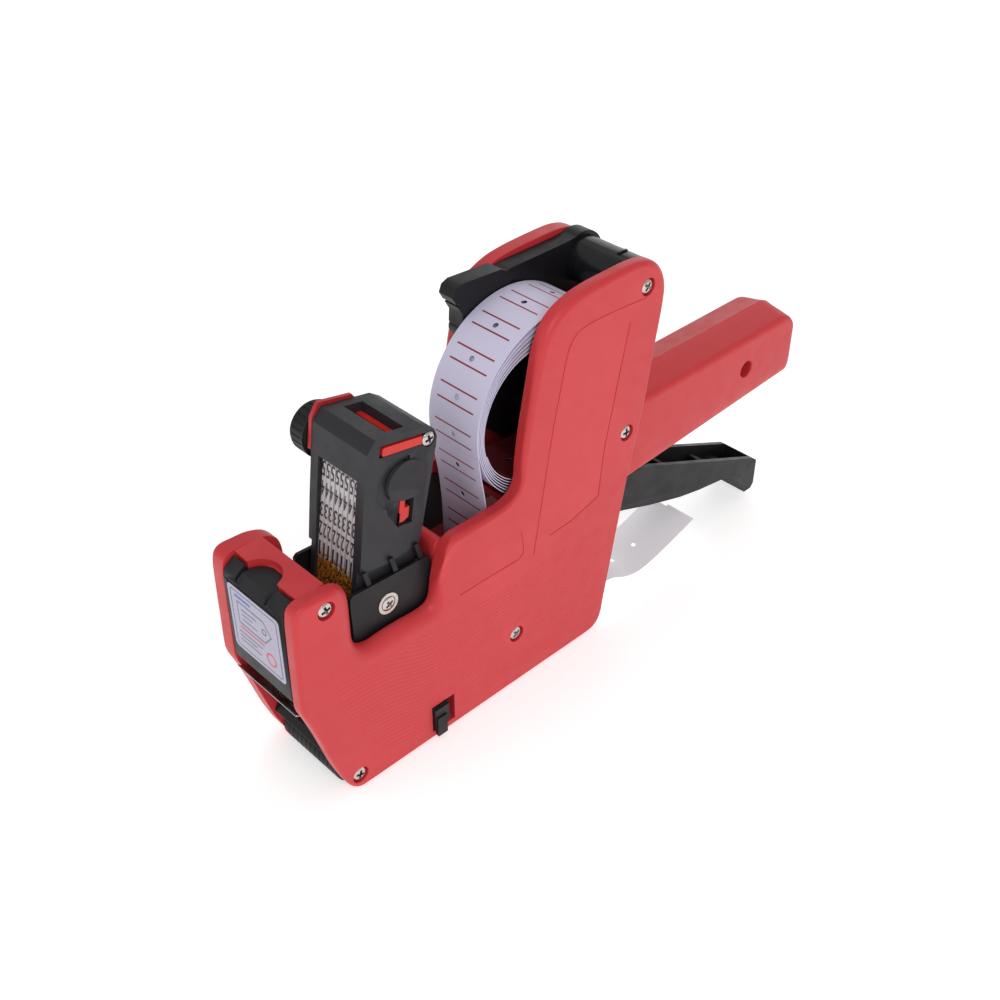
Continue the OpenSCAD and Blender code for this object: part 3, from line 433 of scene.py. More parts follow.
def plate(s, pockets, holes):
    """flat half-body of a shell, s = -1 left, 1 right. pockets: (outline, depth) sunk into the
    outer face; holes: outlines that pass right through"""
    hw = HW if s < 0 else HR
    pi = np.array([r[:2] for r in RIM]); po = np.array([r[2:] for r in RIM]); n = len(pi)
    nx = np.roll(pi, -1, 0) - np.roll(pi, 1, 0)
    nx /= np.linalg.norm(nx, axis=1)[:, None]
    inw = np.stack([nx[:, 1], -nx[:, 0]], 1)           # into the plate for this winding
    area2 = sum(pi[i][0] * pi[(i + 1) % n][1] - pi[(i + 1) % n][0] * pi[i][1] for i in range(n))
    if area2 > 0: inw = -inw
    rows = [[(*(pi[i] + inw[i] * 0.35), IW) for i in range(n)], [(*(pi[i] + inw[i] * 0.1), IW + 0.1) for i in range(n)], [(*pi[i], IW + 0.4) for i in range(n)]]
    for k in range(0, 7):
        th = math.radians(15 * k)
        row = []
        for i in range(n):
            d = po[i] - pi[i]; L = np.linalg.norm(d)
            ry = min(4.0 if s < 0 else 2.6, max(1.3, L * 0.95))
            q = pi[i] + d * (1 - math.cos(th))
            row.append((q[0], q[1], hw - ry + ry * math.sin(th)))
        rows.append(row)
    g = Geo()
    vs = [(x, s * y, z) for row in rows for x, z, y in row]
    fs = []
    for j in range(len(rows) - 1):
        for i in range(n):
            fs.append((j * n + i, j * n + (i + 1) % n, (j + 1) * n + (i + 1) % n, (j + 1) * n + i))
    base = (len(rows) - 1) * n
    fs += face_with_holes(vs, [(x, z) for x, z, y in rows[-1]], list(range(base, base + n)), [q for q, d in pockets] + holes, s * hw)[0]
    starts = face_with_holes.starts
    for (q, d), st in zip(pockets, starts):
        m = len(q); cx = sum(u for u, v in q) / m; cz = sum(v for u, v in q) / m
        lv = len(vs)
        vs += [(u, s * (hw - 0.12), v) for u, v in q]        # small lead-in, then the wall and the floor
        vs += [(u, s * (hw - d), v) for u, v in q]
        for i in range(m):
            i2 = (i + 1) % m
            fs.append((st + i, st + i2, lv + i2, lv + i)); fs.append((lv + i, lv + i2, lv + m + i2, lv + m + i))
        fs += fill2d(q, list(range(lv + m, lv + 2 * m)))
    inner = face_with_holes(vs, [(x, z) for x, z, y in rows[0]], list(range(n)), holes, s * IW)
    fs += inner[0]
    for q, a, b in zip(holes, starts[len(pockets):], face_with_holes.starts):
        m = len(q)
        for i in range(m):
            i2 = (i + 1) % m
            fs.append((a + i, a + i2, b + i2, b + i))
    g.add(vs, fs)
    return g


def inside_poly(p, poly):
    c = False; n = len(poly)
    for i in range(n):
        (x0, y0), (x1, y1) = poly[i], poly[(i + 1) % n]
        if (y0 > p[1]) != (y1 > p[1]) and p[0] < (x1 - x0) * (p[1] - y0) / (y1 - y0) + x0:
            c = not c
    return c


def cdt(loops):
    pts = [Vector(q) for L in loops for q in L]; edges = []; o = 0
    for L in loops:
        edges += [(o + i, o + (i + 1) % len(L)) for i in range(len(L))]; o += len(L)
    r = delaunay_2d_cdt(pts, edges, [], 0, 1e-7)
    return r[0], r[2], r[3]


def fill2d(q, idx):
    co, faces, orig = cdt([q])
    out = []
    for f in faces:
        c = (sum(co[i][0] for i in f) / 3, sum(co[i][1] for i in f) / 3)
        if inside_poly(c, q):
            out.append(tuple(idx[orig[i][0]] for i in f))
    return out


def face_with_holes(vs, outline, oidx, holes, y):
    """triangles of a flat face at y; new corner points of the holes are added to vs"""
    idx = list(oidx); starts = []
    for h in holes:
        starts.append(len(vs)); idx += list(range(len(vs), len(vs) + len(h)))
        vs += [(u, y, v) for u, v in h]
    co, faces, orig = cdt([outline] + holes)
    out = []
    for f in faces:
        c = (sum(co[i][0] for i in f) / 3, sum(co[i][1] for i in f) / 3)
        if not all(orig[i] for i in f): continue
        if inside_poly(c, outline) and not any(inside_poly(c, h) for h in holes):
            out.append(tuple(idx[orig[i][0]] for i in f))
    face_with_holes.starts = starts
    return out, starts


def ring(c, r, n=36):
    return [(c[0] + r * math.cos(2 * math.pi * i / n), c[1] + r * math.sin(2 * math.pi * i / n)) for i in range(n)]


def channel(pts, w):
    """outline of a groove of width w along a line of points"""
    p = np.array(pts, float); n = len(p); L, R = [], []
    for i in range(n):
        a = p[i] - p[i - 1] if i else p[1] - p[0]
        b = p[i + 1] - p[i] if i < n - 1 else p[-1] - p[-2]
        a = a / np.linalg.norm(a); b = b / np.linalg.norm(b)
        t = a + b; t = t / np.linalg.norm(t)
        nn = np.array([-t[1], t[0]]) * w / 2 / max(0.5, float(np.dot(t, a)))
        L.append(tuple(p[i] + nn)); R.append(tuple(p[i] - nn))
    return L + R[::-1]


GROOVES = [
    [(106.4, 119.6), (102.7, 102.1), (97.6, 76.7), (95.9, 59.3), (83.8, 55.9), (73.7, 55.3)],
    [(113.0, 125.4), (103, 126.0), (92.4, 126.2), (86.5, 126.0), (82.4, 124.6), (79.9, 121.6), (78.3, 117), (76.6, 109), (73.7, 95.4), (68.5, 64.1), (66.4, 51.4)],
    [(60.6, 63.6), (61.7, 57.6), (61.6, 54.6), (60.0, 53.3), (51.6, 53.3), (43.2, 53.4), (34.9, 53.3)],
]
SCREWS = [(-13.5, 76.6), (113.9, 128.6), (108.5, 78.2), (59.3, 21.8), (-7.4, 6.0)]


def shell(s):
    name = "left_shell_look" if s < 0 else "right_shell_look"
    pk, hl = [], []
    for gr in GROOVES:
        pk.append((channel(gr if gr is not GROOVES[1] else [tuple(q) for q in smooth_open(gr, 2.5)], 0.5), 0.13))
    if s < 0:
        pk += [(ring(q, 2.98), 1.5) for q in SCREWS]
        hl.append([(22, 3.2), (31.4, 3.2), (31.4, 13.9), (22, 13.9)])
    o = raw(name, plate(s, pk, hl))
    hw = HW if s < 0 else HR
    # what the shell carries inside, joined to it
    g = Geo()
    g.prism([(112.4, 83), (114.9, 83), (120.2, 116), (117.8, 117.6)], *sorted((s * 0.06, s * (IW + 0.05))))
    g.prism([(108.6, 52), (112.6, 79.5), (113.5, 83.4), (117.0, 83.4), (111.6, 50.5)], *sorted((s * 9.7, s * (IW + 0.05))))
    g.prism([(112.5, 79.4), (113.5, 83.4), (117.0, 83.4), (116.0, 79.4)], *sorted((s * 0.06, s * 9.8)))
    for q, r in (((104, 44), 4.6), ((38, 47), 4.2), ((46, 15), 4.4), ((48.4, 46.5), 3.4), ((91, 5.2), 3.2)):
        g.revolve(q, [(r, s * (IW + 0.1)), (r, s * (IW - 0.02))], 32)
    if s > 0:
        # bridge between the ears with the round cut for the thumb tongue
        a0 = math.degrees(math.acos(1.6 / 7.3))
        bp = [(-19.6, -14.38)] + [(-21.2 + 7.3 * math.cos(math.radians(t)), 1 + 7.3 * math.sin(math.radians(t))) for t in np.linspace(-a0, a0, 25)] + [(-19.6, 14.5), (-10.9, 14.5), (-10.9, -14.38)]
        q = np.array(bp); t = np.roll(q, -1, 0) - np.roll(q, 1, 0); t /= np.linalg.norm(t, axis=1)[:, None]
        nn = np.stack([-t[:, 1], t[:, 0]], 1)
        g.rings([[(x, y, 78.6) for x, y in q], [(x, y, 81.65) for x, y in q], [(x, y, 81.93) for x, y in q + nn * 0.12], [(x, y, 82.05) for x, y in q + nn * 0.4]])
        g.box(-12.6, -14.38, 72.6, -10.9, 14.5, 79)
        g.cyl((-13.5, 76.6), 3.3, -14.38, 14.5)
        g.cyl((108.5, 78.2), 3.0, -14.2, IW + 0.1); g.cyl((59.3, 21.8), 3.6, -14.2, IW + 0.1)
    # handle half: outer skin with a hollow underside ahead of its end wall
    rings_o, rings_i, xs = [], [], []
    R = 8.5
    st = [108.8, 112, 116, 122, 130, 140, 150, 160, 172, 184, 196, 201, 203.5, 205.5, 207.2, 208.6, 209.7, 210.4, 210.8, 211.0]
    for x in st:
        t = (x - 126) / 85.0
        zt = 83.5 + 0.35 * t; zs = 80.6 + 1.0 * t; zb = 50.4 + 5.6 * max(-0.1, t)
        if x > 211 - R:
            dz = R - math.sqrt(max(0, R * R - (x - (211 - R)) ** 2)); zt -= dz; zs -= dz * 0.92
        e = max(0.0, x - 208.6); ins = 2.4 - math.sqrt(max(0, 2.4 ** 2 - e ** 2))
        hwid = 11.7 - ins
        zb2 = zb + ins
        prof = [(0.06, zt), (3.0, zt - 0.80), (6.5, zt - (zt - zs) * 0.66), (9.6, zs + 0.05), (10.4, zs - 0.25), (11.0, zs - 0.75), (11.5, zs - 1.6), (11.7, zs - 2.8),
                (11.7, (zs + zb) / 2), (11.7, zb2 + 6.0), (11.5, zb2 + 3.0), (11.0, zb2 + 1.3), (10.2, zb2 + 0.35), (9.2, zb2)]
        k = hwid / 11.7
        prof = [(0.06 + (y - 0.06) * k, z) for y, z in prof]
        inner = [(9.2 * k, zb2 + 0.02), (9.2, zb2 + 1.6), (9.2, 79.2), (0.06, 79.2)]
        rings_o.append((x, prof, inner, zb2))
    hollow = [[(x, s * y, z) for y, z in prof + inner[1:]] for x, prof, inner, zb2 in rings_o if x <= 172]
    solid = [[(x, s * y, z) for y, z in prof + [(4.6 if x < 210.9 else 4.0, zb2 - 0.0), (0.06, zb2)]] for x, prof, inner, zb2 in rings_o if x >= 172]
    g.rings(hollow)
    h = raw("h", g)
    ge = Geo(); ge.rings(solid)
    he = raw("he", ge)
    if s < 0:
        cc = Geo(); cc.revolve((182.4, 68.2), [(3.5, -13), (3.5, -11.68), (3.2, -11.4), (3.2, -5.2)], 36)
        boolean(he, raw("cut2", cc))
    else:
        cc = Geo(); cc.revolve((182.4, 68.2), [(3.5, 13), (3.5, 11.68), (3.2, 11.4), (3.2, 10.6)], 36)
        boolean(he, raw("cut2", cc))
    # fine ribs moulded on the lower side
    ribs = Geo()
    for k in range(26):
        z0 = 5.6 + 1.55 * k
        x1 = min(100.2 + 0.02 * k, 99.0 + (z0 - 6) * 0.19)
        pts = []
        for x in np.arange(-4 - 0.34 * z0 + 4, x1, 3.0):
            z = z0 + (7.5 * (1 - math.exp(-((25 - x) / 16) ** 2)) if x < 25 else 0) * (0.4 + 0.018 * z0)
            if z < 47.0 and not (20 < x < 33.4 and z < 16) and math.hypot(x - 59.3, z - 21.8) > 4.6 and math.hypot(x + 7.4, z - 6) > 5:
                pts.append((x, s * (hw - 0.02), z))
            else:
                if len(pts) > 2: ribs.tube(pts, 0.32, n=6, flat=0.10)
                pts = []
        if len(pts) > 2: ribs.tube(pts, 0.32, n=6, flat=0.10)
    rb = raw("r", ribs)
    # join the parts into one piece
    b = bmesh.new(); b.from_mesh(o.data); b.from_mesh(h.data); b.from_mesh(he.data); b.from_mesh(rb.data)
    me = bpy.data.meshes.new(name); b.to_mesh(me); b.free()
    for t in (h, he, rb):
        m = t.data; bpy.data.objects.remove(t); bpy.data.meshes.remove(m)
    old = o.data; o.data = me; bpy.data.meshes.remove(old)
    return settle(o, RED, "gun_frame", angle=34, nodes=("left_side_shell" if s < 0 else "right_side_shell",))


shell(-1)
shell(1)
from_node("mid_wall", RED, "gun_frame", r=0.4)
from_node("inner_guide", BLACK, "gun_frame", r=0.3)
# the cradle takes the darker red, a painted shade
from_node("roll_cradle", RED_SHADED, "gun_frame", r=0.25)


# ------------------------------------------------------------------ screws
def screw_head(g, c, y, r, h, s=-1):
    """domed head, its flat back at y, standing out towards s"""
    prof = [(r * 0.98, y), (r, y + s * h * 0.22), (r * 0.93, y + s * h * 0.58), (r * 0.74, y + s * h * 0.86), (r * 0.42, y + s * h * 0.98), (0.02, y + s * h)]
    g.revolve(c, prof, 32)


def plus(c, r, w, turn):
    q = [(w, w), (w, r), (-w, r), (-w, w), (-r, w), (-r, -w), (-w, -w), (-w, -r), (w, -r), (w, -w), (r, -w), (r, w)]
    ca, sa = math.cos(math.radians(turn)), math.sin(math.radians(turn))
    return [(c[0] + u * ca - v * sa, c[1] + u * sa + v * ca) for u, v in q]


def cross(g, c, y, r, depth, s=-1, turn=20):
    lay = lambda k, w, yy: [(x, yy, z) for x, z in plus(c, r * k, r * w, turn)]
    g.rings([lay(0.68, 0.19, y + s * 1.2), lay(0.64, 0.175, y), lay(0.30, 0.10, y - s * depth)])


def recess(o, heads):
    """second, darker material on the faces of the cross cut, a painted shade; heads: (centre, base y, radius, height,
    side, dome profile)
    """
    for q in o.data.polygons:
        x, y, z = q.center.x / MM + XM, q.center.y / MM, q.center.z / MM
        for c, y0, r, h, s, dome in heads:
            d = math.hypot(x - c[0], z - c[1])
            if d < 0.72 * r:
                up = s * (y - y0)
                if 0.02 < up < np.interp(d / r, *dome) * h - 0.06:
                    q.material_index = 1


DOME = ([0, 0.42, 0.74, 0.93, 1.0], [1.0, 0.98, 0.86, 0.58, 0.22])
hd, cr, sh = Geo(), Geo(), Geo()
for i, q in enumerate(SCREWS):
    screw_head(hd, q, -17.55, 2.5, 1.2); cross(cr, q, -18.7, 2.5, 0.95, turn=15 + 37 * i)
screw_head(hd, (182.4, 68.2), -5.05, 2.8, 1.25); cross(cr, (182.4, 68.2), -6.25, 2.8, 0.95, turn=40)
o = raw("case_screws_look", hd)
boolean(o, raw("cut3", cr))
settle(o, (NICKEL, RECESS_SHADE), "gun_frame", nodes=("case_screws",))
recess(o, [(q, -17.55, 2.5, 1.2, -1, DOME) for q in SCREWS] + [((182.4, 68.2), -5.05, 2.8, 1.25, -1, DOME)])

C9, S9 = math.cos(math.radians(9)), math.sin(math.radians(9))


def HF(u, w):
    return (14 + u * C9 + w * S9, 60 - u * S9 + w * C9)


hd, cr = Geo(), Geo()
for s in (-1, 1):
    c = HF(-2.6, 0.6)
    hd.revolve(c, [(3.6, s * 13.5), (3.7, s * 13.6), (3.62, s * 13.84), (2.55, s * 13.86), (2.5, s * 13.7), (2.42, s * 13.7), (2.4, s * 13.98), (2.1, s * 14.2), (1.3, s * 14.33), (0.02, s * 14.36)], 36)
    hd.revolve(c, [(1.4, s * 9), (1.4, s * 13.5)], 24)
    cross(cr, c, s * 14.36, 2.3, 0.62, s=s, turn=30)
c = HF(8.9, 51.0)
screw_head(hd, c, -11.25, 2.35, 1.15); cross(cr, c, -12.35, 2.35, 0.8, turn=10)
o = raw("head_screws_look", hd)
boolean(o, raw("cut4", cr))
settle(o, (NICKEL, RECESS_SHADE), "print_arm", nodes=("head_screws",))
recess(o, [(HF(8.9, 51.0), -11.25, 2.35, 1.15, -1, DOME)] + [(HF(-2.6, 0.6), s * 13.5, 3.6, 0.86, s, ([0, 0.36, 0.58, 0.61, 1.0], [1.0, 0.96, 0.8, 0.5, 0.4])) for s in (-1, 1)])


# ------------------------------------------------------------------ label web
def web(name, path, s0, s1, holes, t, m, body, nodes=(), lines=False, side=1, end=None, hole_r=0.95):
    """ribbon along path(s) -> (x, z, nx, nz) with true holes; holes are places along s"""
    vs, fs = [], []
    cells = sorted(set([s0, s1] + [h + k for h in holes for k in (-2, -1, 0, 1, 2) if s0 < h + k < s1]
                       + list(np.arange(s0, s1, 1.4))))
    keep = [cells[0]]
    hs = set(h + k for h in holes for k in (-2, -1, 0, 1, 2))
    for c in cells[1:]:
        near_patch = any(abs(c - h) < 2.3 for h in holes) and c not in hs
        if near_patch and c != s1: continue
        if c - keep[-1] < 0.05: continue
        keep.append(c)
    cells = keep
    ys = [-10.5, -7.5, -4.5, -2, -1, 0, 1, 2, 4.5, 7.5, 10.5]
    idx = {}

    def vert(s, y, side_):
        key = (round(s, 4), round(y, 4), side_)
        if key not in idx:
            x, z, nx, nz = path(s)
            idx[key] = len(vs)
            vs.append((x + nx * t / 2 * side_, WEB_Y + y, z + nz * t / 2 * side_))
        return idx[key]

    def inside(sc, yc):
        return any(abs(sc - h) < 2 and abs(yc) < 2 for h in holes)

    ncell = len(cells) - 1
    present = {}
    for i in range(ncell):
        for j in range(len(ys) - 1):
            a, b = cells[i], cells[i + 1]; y0, y1 = ys[j], ys[j + 1]
            sc, yc = (a + b) / 2, (y0 + y1) / 2
            if end is not None and sc > end(yc): continue
            present[(i, j)] = True
            if inside(sc, yc): continue
            for sd in (1, -1):
                q = [vert(a, y0, sd), vert(b, y0, sd), vert(b, y1, sd), vert(a, y1, sd)]
                fs.append(tuple(q if sd > 0 else q[::-1]))
    # rims
    for (i, j) in list(present):
        a, b = cells[i], cells[i + 1]; y0, y1 = ys[j], ys[j + 1]
        for (di, dj, e0, e1) in ((-1, 0, (a, y1), (a, y0)), (1, 0, (b, y0), (b, y1)), (0, -1, (a, y0), (b, y0)), (0, 1, (b, y1), (a, y1))):
            if (i + di, j + dj) not in present:
                fs.append((vert(*e0, 1), vert(*e0, -1), vert(*e1, -1), vert(*e1, 1)))
    for h in holes:
        if not (s0 + 2 < h < s1 - 2): continue
        sq = [(2, 0), (2, 1), (2, 2), (1, 2), (0, 2), (-1, 2), (-2, 2), (-2, 1), (-2, 0), (-2, -1), (-2, -2), (-1, -2), (0, -2), (1, -2), (2, -2), (2, -1)]
        ci = [(hole_r * math.cos(2 * math.pi * k / 16), hole_r * math.sin(2 * math.pi * k / 16)) for k in range(16)]
        for k in range(16):
            k2 = (k + 1) % 16
            for sd in (1, -1):
                q = [vert(h + sq[k][0], sq[k][1], sd), vert(h + sq[k2][0], sq[k2][1], sd), vert(h + ci[k2][0], ci[k2][1], sd), vert(h + ci[k][0], ci[k][1], sd)]
                fs.append(tuple(q if sd > 0 else q[::-1]))
            fs.append((vert(h + ci[k][0], ci[k][1], 1), vert(h + ci[k2][0], ci[k2][1], 1), vert(h + ci[k2][0], ci[k2][1], -1), vert(h + ci[k][0], ci[k][1], -1)))
    g = Geo(); g.add(vs, fs)
    o = raw(name, g)
    settle(o, m, body, angle=50, nodes=nodes, wn=False)
    if lines:
        lg = Geo()
        for h in holes:
            for d in (-2.35, 2.35):
                c = h + d
                if not (s0 + 0.5 < c < s1 - 0.5): continue
                w = 0.26; Lh = 7.76
                for sd, off in ((side, 0.014),):
                    n = 4; ring = []
                    for a in (c - w, c + w):
                        x, z, nx, nz = path(a)
                        k = t / 2 + off
                        ring.append([(x + nx * k * sd, WEB_Y + y, z + nz * k * sd) for y in np.linspace(-Lh, Lh, 5)])
                    bot = []
                    for a in (c - w, c + w):
                        x, z, nx, nz = path(a)
                        k = t / 2 - 0.02
                        bot.append([(x + nx * k * sd, WEB_Y + y, z + nz * k * sd) for y in np.linspace(-Lh, Lh, 5)])
                    lg.rings([ring[0], ring[1], bot[1], bot[0], ring[0]], close=False, caps=False)
        lo = raw(name + "_lines", lg)
        settle(lo, PAPER_LINE, body, angle=30, wn=False)
    return o


RC = (79.9, 99.6)
TH0 = 100.9


def gap(th):
    return 0.50 + min(1.05, 1.55 * (1 - math.cos(math.radians(th - 92))))


# table of the wound web, from the leaving point inwards
_tab = []
_s = 0.0; _prev = None
for i in range(0, 6 * 180 + 1):
    th = TH0 - 2.0 * i
    k = (TH0 - th) / 360.0
    wob = 0.12 * math.sin(math.radians(th * 3 + 40 * k)) * min(1.0, k)
    r = 32.02 - k * gap(th) - wob
    x = RC[0] - r * math.sin(math.radians(th)); z = RC[1] + r * math.cos(math.radians(th))
    if _prev is not None: _s += math.hypot(x - _prev[0], z - _prev[1])
    _prev = (x, z); _tab.append((_s, x, z))
_tab = np.array(_tab)


def roll_path(s):
    x = np.interp(s, _tab[:, 0], _tab[:, 1]); z = np.interp(s, _tab[:, 0], _tab[:, 2])
    d = 0.6
    x2 = np.interp(s + d, _tab[:, 0], _tab[:, 1]); z2 = np.interp(s + d, _tab[:, 0], _tab[:, 2])
    x1 = np.interp(s - d, _tab[:, 0], _tab[:, 1]); z1 = np.interp(s - d, _tab[:, 0], _tab[:, 2])
    tx, tz = x2 - x1, z2 - z1; L = math.hypot(tx, tz) or 1
    return x, z, -tz / L, tx / L


s_end = float(_tab[-1, 0]) - 1
_rin = float(np.max(np.hypot(_tab[-180:, 1] - RC[0], _tab[-180:, 2] - RC[1])))
h0 = 5.0
holes = list(np.arange(h0, s_end - 3, 12.0))
web("label_roll_web", roll_path, 0.0, s_end, holes, 0.24, PAPER, "label_roll", nodes=("label_roll",), lines=True, side=1)

me = bpy.data.objects["label_roll_web"].data
# faces on the inner side of the innermost wrap take the painted shade and red reflection
me.materials.append(ROLL_INNER_SHADE)
for q in me.polygons:
    x, z = q.center.x / MM + XM - RC[0], q.center.z / MM - RC[1]
    if math.hypot(x, z) < _rin + 0.02 and q.normal.x * x + q.normal.z * z < 0:
        q.material_index = 1

STRIP = [(48.32, 93.6), (49.35, 86.4), (50.6, 79), (51.4, 72), (51.9, 64), (52.0, 56), (52.0, 46.7)] + arc((48.4, 46.5), 3.6, -8, -77, 6) + [(40, 41.1), (27.5, 38.5), (20, 38.08), (0, 38.05), (-14.6, 38.05)]
_st = smooth_open(STRIP, 0.8)
_ss = np.concatenate([[0], np.cumsum([np.linalg.norm(_st[i + 1] - _st[i]) for i in range(len(_st) - 1)])])
_sx = np.array([p[0] for p in _st]); _sz = np.array([p[1] for p in _st])


def make_path(ss, sx, sz, flip=1):
    def f(s):
        x = np.interp(s, ss, sx); z = np.interp(s, ss, sz)
        x1, z1 = np.interp(s - .5, ss, sx), np.interp(s - .5, ss, sz); x2, z2 = np.interp(s + .5, ss, sx), np.interp(s + .5, ss, sz)
        tx, tz = x2 - x1, z2 - z1; L = math.hypot(tx, tz) or 1
        return x, z, -tz / L * flip, tx / L * flip
    return f


sp = make_path(_ss, _sx, _sz, -1)
web("label_strip_web", sp, 0.0, float(_ss[-1]), list(np.arange(7.0, float(_ss[-1]) - 3, 12.0)), 0.24, PAPER, "gun_frame", nodes=("label_strip",), lines=True, side=1)

LINE = [(-15.6, 34.9), (-8, 34.2), (8, 31.5), (24, 28.6), (29, 27), (31.2, 24.6)] + arc((46, 15), 9.5, 206, 268, 8) + \
       [(60, 5.4), (84, 8.4), (98, 11), (105, 11.9), (112, 11.2), (116, 9.4), (120, 7.5), (124, 6.3), (128, 5.9), (133, 6.4), (139, 7.8), (145, 9.5), (151, 11.4), (158, 13.7)]
_lt = smooth_open(LINE, 0.8)
_ls = np.concatenate([[0], np.cumsum([np.linalg.norm(_lt[i + 1] - _lt[i]) for i in range(len(_lt) - 1)])])
_lx = np.array([p[0] for p in _lt]); _lz = np.array([p[1] for p in _lt])
lp = make_path(_ls, _lx, _lz, 1)
_k = [i for i in range(len(_lx)) if _lx[i] > 120][0]
s_hole = float(np.interp(136.3, _lx[_k:], _ls[_k:]))
Lmax = float(_ls[-1])
lh = [s_hole - 12 * k for k in range(0, 24) if s_hole - 12 * k > 4]


def torn(y):
    return Lmax if y < 3.0 else (Lmax - 1.5 if y < 7.0 else Lmax - 3.0)


web("liner_tail_web", lp, 0.0, Lmax, sorted(lh), 0.2, LINER, "gun_frame", nodes=("liner_tail",), end=torn, hole_r=0.8)


# ------------------------------------------------------------------ black and grey parts
from_node("roll_cover", BLACK, "roll_cover", r=0.6, segs=3)
tb = Geo()
sec = [(7.2, -14.38), (7.6, -14.0), (7.6, 14.0), (7.2, 14.38), (3.1, 14.38), (3.1, -14.38)]
rg = [[(113.9 + r * math.cos(a), y, 128.6 + r * math.sin(a)) for r, y in sec] for a in np.linspace(0, 2 * math.pi, 61)[:-1]]
tb.rings(rg + [rg[0]], caps=False)
tb.prism([(113.9 + r * math.cos(math.radians(a)), 128.6 + r * math.sin(math.radians(a))) for r, aa in ((7.3, (72, 80, 88, 96, 104)), (8.2, (102, 95, 88, 81, 74))) for a in aa], -7.9, -7.1)
settle(raw("hinge_tube_look", tb), GLOSSY, "gun_frame", nodes=("hinge_tube",))


def flush(v):
    x, y, z = v.co.x / MM + XM, v.co.y / MM, v.co.z / MM
    if abs(y - 1) < 6.7 and x < -19.5:
        if z > 79.7: x, z = -22.42, 79.62
        elif z > 79.5 and x < -22.43: x = -22.43
        v.co = P(x, y, z)


def shallow(v):
    if abs(v.co.z / MM - 0.9) < 0.02 and v.co.x / MM + XM < 53:
        v.co.z = 0.52 * MM


def smooth_roller(v):
    dx, dz = v.co.x / MM + XM + 7.4, v.co.z / MM - 6.0
    r = math.hypot(dx, dz)
    if 4.4 < r < 5.0:
        v.co = P(-7.4 + dx / r * 5.1, v.co.y / MM, 6.0 + dz / r * 5.1)


def no_far_rib(v):
    if v.co.y / MM > 12.2 and v.co.x / MM + XM < 8.5 and v.co.z / MM > 71.0:
        v.co.z = 69.4 * MM


from_node("front_cover", BLACK, "front_cover", r=0.45, shape=flush)
from_node("trigger", BLACK, "trigger", r=0.5)
from_node("print_arm", BLACK, "print_arm", r=0.3, shape=no_far_rib)
from_node("head_case", GREY, "print_arm", r=0.25, short=1.3, big=(14, 0.9, None))
from_node("head_side_cap", CAP, "print_arm", r=0.3)
from_node("head_lock_bar", BRIGHT, "print_arm", r=0.35)
from_node("selector_pointer", BRIGHT, "selector_pointer", r=0.2)
from_node("selector_knob", BLACK, "selector_knob", r=0.3)
from_node("nose_guide", DEEP, "gun_frame", r=0.25)
from_node("nose_roller", RUBBER, "nose_roller", r=0.04, shape=smooth_roller)
from_node("bottom_cover", BLACK, "bottom_cover", r=0.12, shape=shallow)
from_node("bottom_latch", BLACK, "bottom_latch", r=0.9, segs=4)
from_node("peel_plate", STEEL, "gun_frame", r=0.08)
from_node("platen", BLACK, "gun_frame", r=0.2)
from_node("number_bands", BAND, "print_arm", r=0.12)
for n, m in (("guide_roller", BLACK), ("feed_wheel", BLACK), ("band_wheels", WHITE), ("type_guide", GREY), ("band_spacer", GREY), ("selector_shaft", STEEL),
             ("trigger_pin", STEEL), ("arm_shaft", STEEL), ("feed_axle", STEEL), ("guide_axle", STEEL), ("nose_shaft", STEEL), ("bottom_hinge_pin", STEEL),
             ("ink_roller", INK), ("ink_roller_shaft", STEEL), ("drive_link", STEEL), ("feed_pawl", STEEL)):
    dress(n, m)
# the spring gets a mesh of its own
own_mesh(from_node("trigger_spring", STEEL, "gun_frame", r=0))

# ------------------------------------------------------------------ raised characters on the bands
def glyph_mesh(ch):
    cu = bpy.data.curves.new("g", "FONT"); cu.body = ch; cu.size = 1; cu.extrude = 0.02; cu.align_x = "CENTER"; cu.resolution_u = 3; cu.offset = 0.0
    t = bpy.data.objects.new("g", cu); scene.collection.objects.link(t)
    bpy.context.view_layer.update()
    dg = bpy.context.evaluated_depsgraph_get()
    me = bpy.data.meshes.new_from_object(t.evaluated_get(dg))
    co = np.array([v.co[:] for v in me.vertices])
    fs = [tuple(p.vertices) for p in me.polygons]
    bpy.data.objects.remove(t); bpy.data.curves.remove(cu); bpy.data.meshes.remove(me)
    lo, hi = co.min(0), co.max(0)
    co = (co - (lo + hi) / 2)
    return co, fs, hi - lo


def band_y(i):
    return -7.75 + i * 2.0 + (0.25 if i > 1 else 0) + (0.25 if i > 4 else 0)


gl = {ch: glyph_mesh(ch) for ch in "0123456789"}
tg = Geo()
b_up, b_lo = (-6.8, 45.6), (-7.2, -12.6)
fu = lambda w: (b_up[0] + (b_lo[0] - b_up[0]) * (45.6 - w) / 58.2) - 4.8
rows = list(zip("654321", (45.3, 38.7, 32.0, 25.3, 18.7, 12.2)))
for i in range(8):
    yc = band_y(i) + 0.85
    for ch, w in rows:
        co, fs, sz = gl[ch]
        sy, sw = (1.34 if ch != "1" else 0.62) / sz[0], 4.9 / sz[1]
        vs = []
        for x, y, z in co:
            # characters face the nose, reversed left to right and head down
            ww = w - y * sw
            yy = yc + x * sy
            uu = fu(ww) - 0.06 - (0.10 if z > 0 else 0.0)
            X, Z = HF(uu, ww)
            vs.append((X, yy, Z))
        tg.add(vs, fs)
o = raw("band_characters", tg)
settle(o, TYPE, "print_arm", angle=30, wn=False)

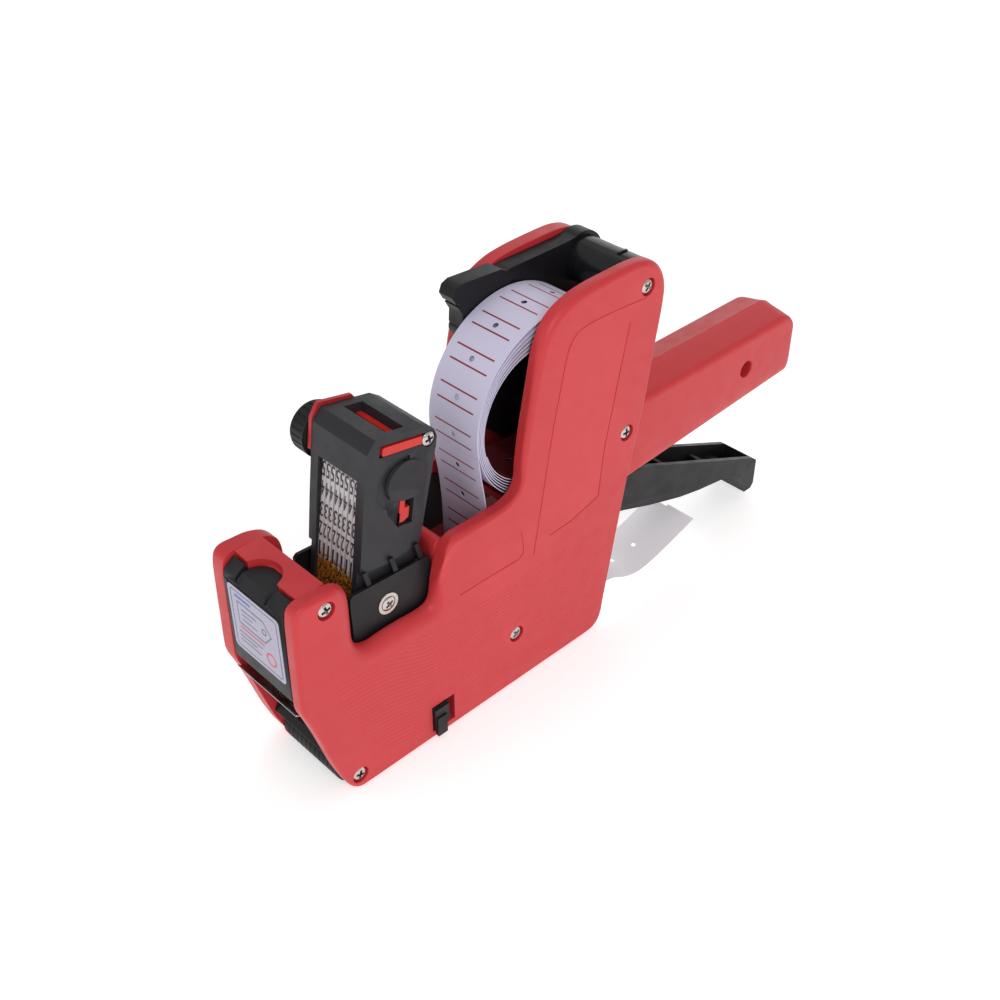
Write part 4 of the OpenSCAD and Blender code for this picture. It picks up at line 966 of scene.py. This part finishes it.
# ------------------------------------------------------------------ sticker
def rrect(y0, z0, y1, z1, r, n=6):
    p = []
    for cy, cz, a in ((y1 - r, z1 - r, 0), (y0 + r, z1 - r, 90), (y0 + r, z0 + r, 180), (y1 - r, z0 + r, 270)):
        p += [(cy + r * math.cos(math.radians(a + 90 * k / n)), cz + r * math.sin(math.radians(a + 90 * k / n))) for k in range(n + 1)]
    return p


def decal(g, poly, x0, x1):
    """flat shape in the Y-Z plane between x0 and x1"""
    g.rings([[(x0, y, z) for y, z in poly], [(x1, y, z) for y, z in poly]])


def outline(g, poly, w, x0, x1):
    n = len(poly); p = np.array(poly)
    t = np.roll(p, -1, 0) - np.roll(p, 1, 0); t /= np.linalg.norm(t, axis=1)[:, None]
    nn = np.stack([t[:, 1], -t[:, 0]], 1)
    a, b = p + nn * w / 2, p - nn * w / 2
    rings = [[(x0, *a[i]), (x0, *b[i]), (x1, *b[i]), (x1, *a[i])] for i in range(n)]
    g.rings(rings + [rings[0]], caps=False)


def stroke(g, pts, w, x0, x1):
    p = np.array(pts, float); n = len(p)
    t = np.array([p[min(i + 1, n - 1)] - p[max(i - 1, 0)] for i in range(n)]); t /= np.linalg.norm(t, axis=1)[:, None]
    nn = np.stack([t[:, 1], -t[:, 0]], 1)
    a, b = p + nn * w / 2, p - nn * w / 2
    g.rings([[(x0, *a[i]), (x0, *b[i]), (x1, *b[i]), (x1, *a[i])] for i in range(n)])


g = Geo(); decal(g, rrect(-12.2, 51.4, 12.2, 75.4, 1.6), -24.96, -24.82)
settle(raw("sticker_film_piece", g), STICK, "front_cover", nodes=("cover_sticker",), wn=False)
xa, xb = -24.95, -24.988
loop = lambda y, z, ry, rz, a0=0, a1=360, n=26: [(y + ry * math.cos(math.radians(a0 + (a1 - a0) * k / n)), z + rz * math.sin(math.radians(a0 + (a1 - a0) * k / n))) for k in range(n + (a1 - a0 < 360))]
g = Geo()
outline(g, rrect(-10.9, 52.7, 10.9, 74.1, 1.0), 0.30, xa, xb)
outline(g, [(8.2, 70.4), (-4.2, 70.4), (-7.6, 66.4), (-4.2, 62.4), (8.2, 62.4)], 0.42, xa, xb)
outline(g, loop(-4.2, 66.4, 0.95, 0.95, n=18), 0.34, xa, xb)
stroke(g, [(6.4, 68.2), (-0.6, 68.2)], 0.34, xa, xb)
stroke(g, [(6.4, 66.4), (1.4, 66.4)], 0.34, xa, xb)
stroke(g, [(6.4, 64.6), (-0.6, 64.6)], 0.34, xa, xb)
for k, (ya, yb) in enumerate(((9.0, -2.2), (9.0, 0.8), (9.0, -1.2))):
    stroke(g, [(ya, 58.9 - 1.6 * k), (yb, 58.9 - 1.6 * k)], 0.32, xa, xb)
settle(raw("sticker_lines", g), NAVY, "front_cover", wn=False)
g = Geo()
outline(g, loop(-6.2, 57.2, 2.1, 2.1), 0.7, xa, xb)
stroke(g, [(8.2, 60.9), (-3.4, 60.9)], 0.6, xa, xb)
settle(raw("sticker_red_marks", g), ST_RED, "front_cover", wn=False)
g = Geo()
stroke(g, [(9.0, 72.3), (1.6, 72.3)], 0.9, xa, xb)
settle(raw("sticker_blue_bar", g), ST_BLUE, "front_cover", wn=False)
